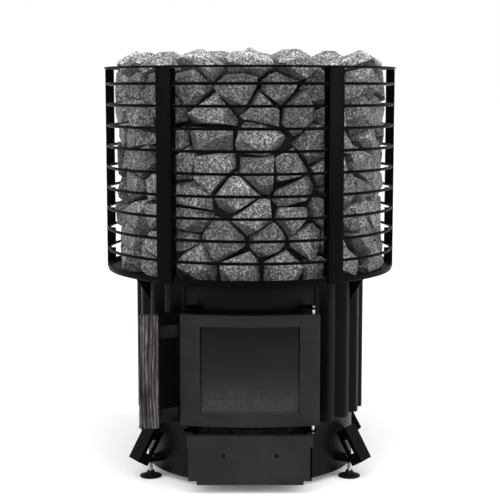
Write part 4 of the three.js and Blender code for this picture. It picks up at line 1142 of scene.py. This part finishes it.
class STOVE_OT_handle(StovePiece, bpy.types.Operator):
    """Models the wooden grip, its two bent arms with their screws, and the heat shield"""

    bl_idname = "stove.handle"
    bl_label = "Handle"

    grip = ((-215, -256.9, 136), (-177, -239.2, 358.6))
    arm_path = ((-205.5, -236.9), (-168, -236.9), (-139, -213.9), (-118, -213.9))
    arm_bend = 7
    arm_thick = 4
    arm_height = 25
    arm_lows = {"upper": 310.5, "lower": 146}
    screw_places = (-203, -188)
    screw_back = -234.7
    screw_head = ((0, 0), (4.5, 0), (4.5, 0.8), (3.6, 2.0), (2.2, 2.5), (1.6, 2.5), (1.6, 1.0), (0, 1.0))
    shield_path = ((-138.3, -204.9), (-184.3, -187.9))
    shield_thick = 2
    shield_low = 158
    shield_high = 355.5

    def strip(self, name, path, thick, low, high):
        """A bent bar of even thickness along a plan path."""
        sides = ([], [])
        for i, point in enumerate(path):
            before = path[max(i - 1, 0)]
            after = path[min(i + 1, len(path) - 1)]
            along = (after - before).normalized()
            normal = Vector((-along.y, along.x, 0))
            sides[0].append(point + normal * thick / 2)
            sides[1].append(point - normal * thick / 2)
        return plate(name, sides[0] + sides[1][::-1], (0, 0, high - low))

    def arm(self, side, low):
        path = rounded([Vector((x, y, low)) for x, y in self.arm_path], self.arm_bend, 5)
        piece = self.strip(f"{side}_arm", path, self.arm_thick, low, low + self.arm_height)
        break_edges(piece, 0.7 * MM)
        dress(piece, "paint", "door", "black_paint", f"handle_arm_{side}")

    def execute(self, context):
        grip = block("wood_grip", *self.grip)
        break_edges(grip, sizes().grip_round, 4)
        dress(grip, "wood", "door", "stained_wood", "handle_grip")
        for side, low in self.arm_lows.items():
            self.arm(side, low)
        places = [(x, low + self.arm_height / 2) for low in self.arm_lows.values() for x in self.screw_places]
        for index, (x, z) in enumerate(places, 1):
            place = (x, self.screw_back, z)
            look = ("zinc", "door", "zinc_steel")
            small_part(f"grip_screw_{index}", self.screw_head, 24, place, BACKWARD, *look)
        path = [Vector((x, y, self.shield_low)) for x, y in self.shield_path]
        shield = self.strip("heat_shield", path, self.shield_thick, self.shield_low, self.shield_high)
        break_edges(shield, 0.5 * MM, 1)
        # The shield gets the deepest black as painted shade behind the grip
        dress(shield, "cage", "door", "black_paint", "handle_shield")
        return {"FINISHED"}


class STOVE_OT_drawer(StovePiece, bpy.types.Operator):
    """Models the folded front of the ash drawer with its screws, and finishes the tray"""

    bl_idname = "stove.drawer"
    bl_label = "Ash drawer"

    front = -246
    back = -231
    sheet = 3
    low = 28
    shoulder = 95.5
    high = 118.5
    half = 121
    half_top = 123.5
    tab = ((-105, -245, 20), (105, -243, 30))
    screw_aside = 52
    screw_height = 79
    screw_front = -246.1
    screw_head = ((0, -0.4), (4, -0.4), (4, 0.4), (3.2, 0.7), (2, 0.7), (1.6, -0.1), (0, -0.1))

    def execute(self, context):
        half, top = self.half, self.half_top
        right = [(half, self.low), (half, self.shoulder), (top, self.shoulder), (top, self.high)]
        left = [(-x, z) for x, z in right]
        outline = left[:1] + right + left[:0:-1]
        face = plate("drawer_face", [(x, self.front, z) for x, z in outline], (0, self.sheet, 0))
        fold = self.high - self.sheet
        inner = half - self.sheet
        fuse(
            face,
            block("top_fold", (-top, self.front, fold), (top, self.back, self.high)),
            block("left_fold", (-half, self.front, self.low), (-inner, self.back, self.shoulder)),
            block("right_fold", (inner, self.front, self.low), (half, self.back, self.shoulder)),
            block("bottom_tab", *self.tab),
        )
        break_edges(face, 1.0 * MM, 3)
        dress(face, "charcoal", "ash_drawer", "black_paint", "ash_drawer_front")
        for name, side in (("left_drawer_screw", -1), ("right_drawer_screw", 1)):
            place = (side * self.screw_aside, self.screw_front, self.screw_height)
            look = ("paint", "ash_drawer", "black_paint")
            small_part(name, self.screw_head, 24, place, FORWARD, *look)
        repaint("ash_tray", "galvanised")
        return {"FINISHED"}


class STOVE_OT_feet(StovePiece, bpy.types.Operator):
    """Models the slotted leg brackets, threaded studs, lock nuts and foot pads"""

    bl_idname = "stove.feet"
    bl_label = "Legs and feet"

    azimuths = {"front_left": -60, "front_right": 60, "rear_left": -120, "rear_right": 120}
    root = 215.4
    top = 95
    tilt = 30
    half_width = 22.5
    sheet = 3
    depth = 24
    length = 76.5
    slot = (8, 16, 23, 53.5)
    tab = ((-22.5, -262, 36), (22.5, -190, 40))
    wall = (0, 216.3, 5, 140)
    stud_at = 235.5
    stud_room = (0, 4.3, 20, 60)
    stud_low = 5.3
    stud_high = 58
    stud_radius = 4
    stud_core = 3.4
    nut_radius = 7.5
    nut_room = (0, 4.15, 30, 60)
    nut_height = 6
    nut_middle = 43.4

    def corner(self, across, down, x):
        """A corner of the slanted bracket: across is measured out from the wall, down along the leg."""
        tilt = math.radians(self.tilt)
        r = self.root + across * math.cos(tilt) + down * math.sin(tilt)
        z = self.top + across * math.sin(tilt) - down * math.cos(tilt)
        return Vector((x, -r, z))

    def slanted(self, name, left, right, top, bottom, x, thick):
        corners = ((left, top), (right, top), (right, bottom), (left, bottom))
        return plate(name, [self.corner(a, d, x) for a, d in corners], (thick, 0, 0))

    def bracket(self):
        near, far = -self.half_width, self.half_width - self.sheet
        leg = self.slanted("leg_side", 0, self.depth, 0, self.length, near, self.sheet)
        web = (self.depth - self.sheet, self.depth, 0, self.length, near, 2 * self.half_width)
        fuse(
            leg,
            self.slanted("leg_side", 0, self.depth, 0, self.length, far, self.sheet),
            self.slanted("leg_web", *web),
            block("leg_tab", *self.tab),
        )
        wall = ring("wall", *self.wall, 120)
        hole = self.stand(ring("stud_hole", *self.stud_room, 24))
        cut(leg, self.slanted("slot", *self.slot, -40, 80), wall, hole)
        break_edges(leg, 0.7 * MM)
        return leg

    def stud(self):
        pitch = sizes().thread / MM
        profile = [(0, self.stud_low), (self.stud_core, self.stud_low)]
        z = self.stud_low + 0.7
        while z < self.stud_high - 1.5:
            profile += [(self.stud_core + 0.05, z)]
            profile += [(self.stud_radius, z + pitch * share) for share in (0.45, 0.55)]
            z += pitch
        profile += [(self.stud_core, self.stud_high - 0.6), (2.8, self.stud_high), (0, self.stud_high)]
        return self.stand(turned("stud", profile, 24))

    def pad(self):
        """A dished pad with a collar that holds the end of the stud."""
        profile = [(0, 0), (21.6, 0), (22.5, 0.9), (22.5, 2.6), (21.9, 3.2), (10.4, 6.4)]
        profile += [(9.2, 7.4), (7.4, 12.4), (6.9, 13), (4.3, 13), (4.3, 5), (0, 5)]
        return self.stand(turned("pad", profile, 48))

    def nut(self):
        clear_selection()
        bpy.ops.mesh.primitive_cylinder_add(
            vertices=6,
            radius=self.nut_radius * MM,
            depth=self.nut_height * MM,
            location=(0, -self.stud_at * MM, self.nut_middle * MM),
        )
        nut = bpy.context.object
        nut.name = "nut"
        settle(nut)
        cut(nut, self.stand(ring("nut_hole", *self.nut_room, 24)))
        break_edges(nut, 0.5 * MM)
        return nut

    def stand(self, piece):
        """Moves a piece turned round Z out to a foot's distance, straight ahead."""
        piece.location.y = -self.stud_at * MM
        settle(piece)
        smooth(piece, 40)
        return piece

    def execute(self, context):
        bracket, stud, pad, nut = self.bracket(), self.stud(), self.pad(), self.nut()
        for corner, azimuth in self.azimuths.items():
            leg = copy_of(bracket, f"leg_{corner}", azimuth)
            dress(leg, "cage", "stove", "black_paint", f"leg_bracket_{corner}")
            foot = f"foot_{corner}"
            screw = copy_of(stud, f"stud_{corner}", azimuth)
            dress(screw, "zinc", foot, "zinc_steel", f"levelling_stud_{corner}")
            shoe = copy_of(pad, f"pad_{corner}", azimuth)
            dress(shoe, "foot", foot, "foot_rubber", f"foot_pad_{corner}")
            lock = copy_of(nut, f"lock_nut_{corner}", azimuth)
            dress(lock, "zinc", "stove", "zinc_steel")
        for piece in (bracket, stud, pad, nut):
            drop(piece)
        return {"FINISHED"}


class STOVE_OT_stage(StovePiece, bpy.types.Operator):
    """Sets the pale floor, the soft lights and the camera"""

    bl_idname = "stove.stage"
    bl_label = "Stage"

    # Lengths in metres here, apart from the lens and its sensor
    floor_radius = 60
    sky_power = 2.7
    sky_spread = 70
    sky_tilt = 29
    softbox_target = (0, 0, 0.45)
    softbox_height = 2.2
    eye = (0, -2.723, 0.790)
    look_down = 7.03
    lens = 93.8
    sensor = 36

    def hold(self, name, data):
        holder = bpy.data.objects.new(name, data)
        bpy.context.scene.collection.objects.link(holder)
        return holder

    def softbox(self, name, place, width, power):
        lamp = bpy.data.lights.new(name, "AREA")
        lamp.shape = "RECTANGLE"
        lamp.size = width
        lamp.size_y = self.softbox_height
        lamp.energy = power
        holder = self.hold(name, lamp)
        holder.location = place
        aim = Vector(self.softbox_target) - Vector(place)
        holder.rotation_euler = aim.to_track_quat("-Z", "Y").to_euler()

    def sky(self):
        lamp = bpy.data.lights.new("ceiling_bounce", "SUN")
        lamp.energy = self.sky_power
        lamp.angle = math.radians(self.sky_spread)
        self.hold("ceiling_bounce", lamp).rotation_euler.x = math.radians(self.sky_tilt)

    def backdrop(self):
        """A white wall of light all round at eye level that dims towards the ceiling."""
        world = bpy.data.worlds.new("soft_studio")
        world.use_nodes = True
        tree = world.node_tree
        place = add_node(tree, "ShaderNodeTexCoord")
        parts = add_node(tree, "ShaderNodeSeparateXYZ", {"Vector": (place, "Generated")})
        wall, output = ramp(tree, (parts, "Z"), [(0.12, grey(1)), (0.5, grey(0.25))])
        tree.links.new(wall.outputs[output], tree.nodes["Background"].inputs["Color"])
        bpy.context.scene.world = world

    def camera(self):
        lens = bpy.data.cameras.new("photo_camera")
        lens.sensor_width = self.sensor
        lens.lens = self.lens
        camera = self.hold("photo_camera", lens)
        camera.location = self.eye
        camera.rotation_euler.x = math.radians(90 - self.look_down)
        bpy.context.scene.camera = camera

    def execute(self, context):
        clear_selection()
        bpy.ops.mesh.primitive_circle_add(vertices=64, radius=self.floor_radius, fill_type="NGON")
        floor = bpy.context.object
        floor.name = "studio_floor"
        floor.data.materials.append(finish_of("floor"))
        self.backdrop()
        self.sky()
        self.softbox("left_softbox", (-2.6, -1.6, 1.9), 0.9, 40)
        self.softbox("right_softbox", (2.7, -1.3, 1.8), 0.8, 50)
        self.camera()
        bpy.context.scene.view_settings.view_transform = "Standard"
        return {"FINISHED"}


PIECE_OPERATORS = (
    STOVE_OT_body,
    STOVE_OT_ribs,
    STOVE_OT_cage,
    STOVE_OT_stones,
    STOVE_OT_door,
    STOVE_OT_handle,
    STOVE_OT_drawer,
    STOVE_OT_feet,
    STOVE_OT_stage,
)


class STOVE_PT_sidebar(bpy.types.Panel):
    bl_idname = "STOVE_PT_sidebar"
    bl_label = "Sauna stove"
    bl_space_type = "VIEW_3D"
    bl_region_type = "UI"
    bl_category = "Stove"

    def draw(self, context):
        column = self.layout.column()
        for group in (context.scene.stove_sizes, context.scene.stove_colours):
            for name in group.__annotations__:
                column.prop(group, name)
        for operator in PIECE_OPERATORS:
            column.operator(operator.bl_idname)


CLASSES = (StoveSizes, StoveColours, *PIECE_OPERATORS, STOVE_PT_sidebar)


def register():
    for cls in CLASSES:
        bpy.utils.register_class(cls)
    bpy.types.Scene.stove_sizes = PointerProperty(type=StoveSizes)
    bpy.types.Scene.stove_colours = PointerProperty(type=StoveColours)


def unregister():
    del bpy.types.Scene.stove_sizes
    del bpy.types.Scene.stove_colours
    for cls in reversed(CLASSES):
        bpy.utils.unregister_class(cls)


def main():
    register()
    bpy.ops.stove.body()
    bpy.ops.stove.ribs()
    bpy.ops.stove.cage()
    bpy.ops.stove.stones()
    bpy.ops.stove.door()
    bpy.ops.stove.handle()
    bpy.ops.stove.drawer()
    bpy.ops.stove.feet()
    bpy.ops.stove.stage()
    clear_selection()


if __name__ == "__main__":
    main()
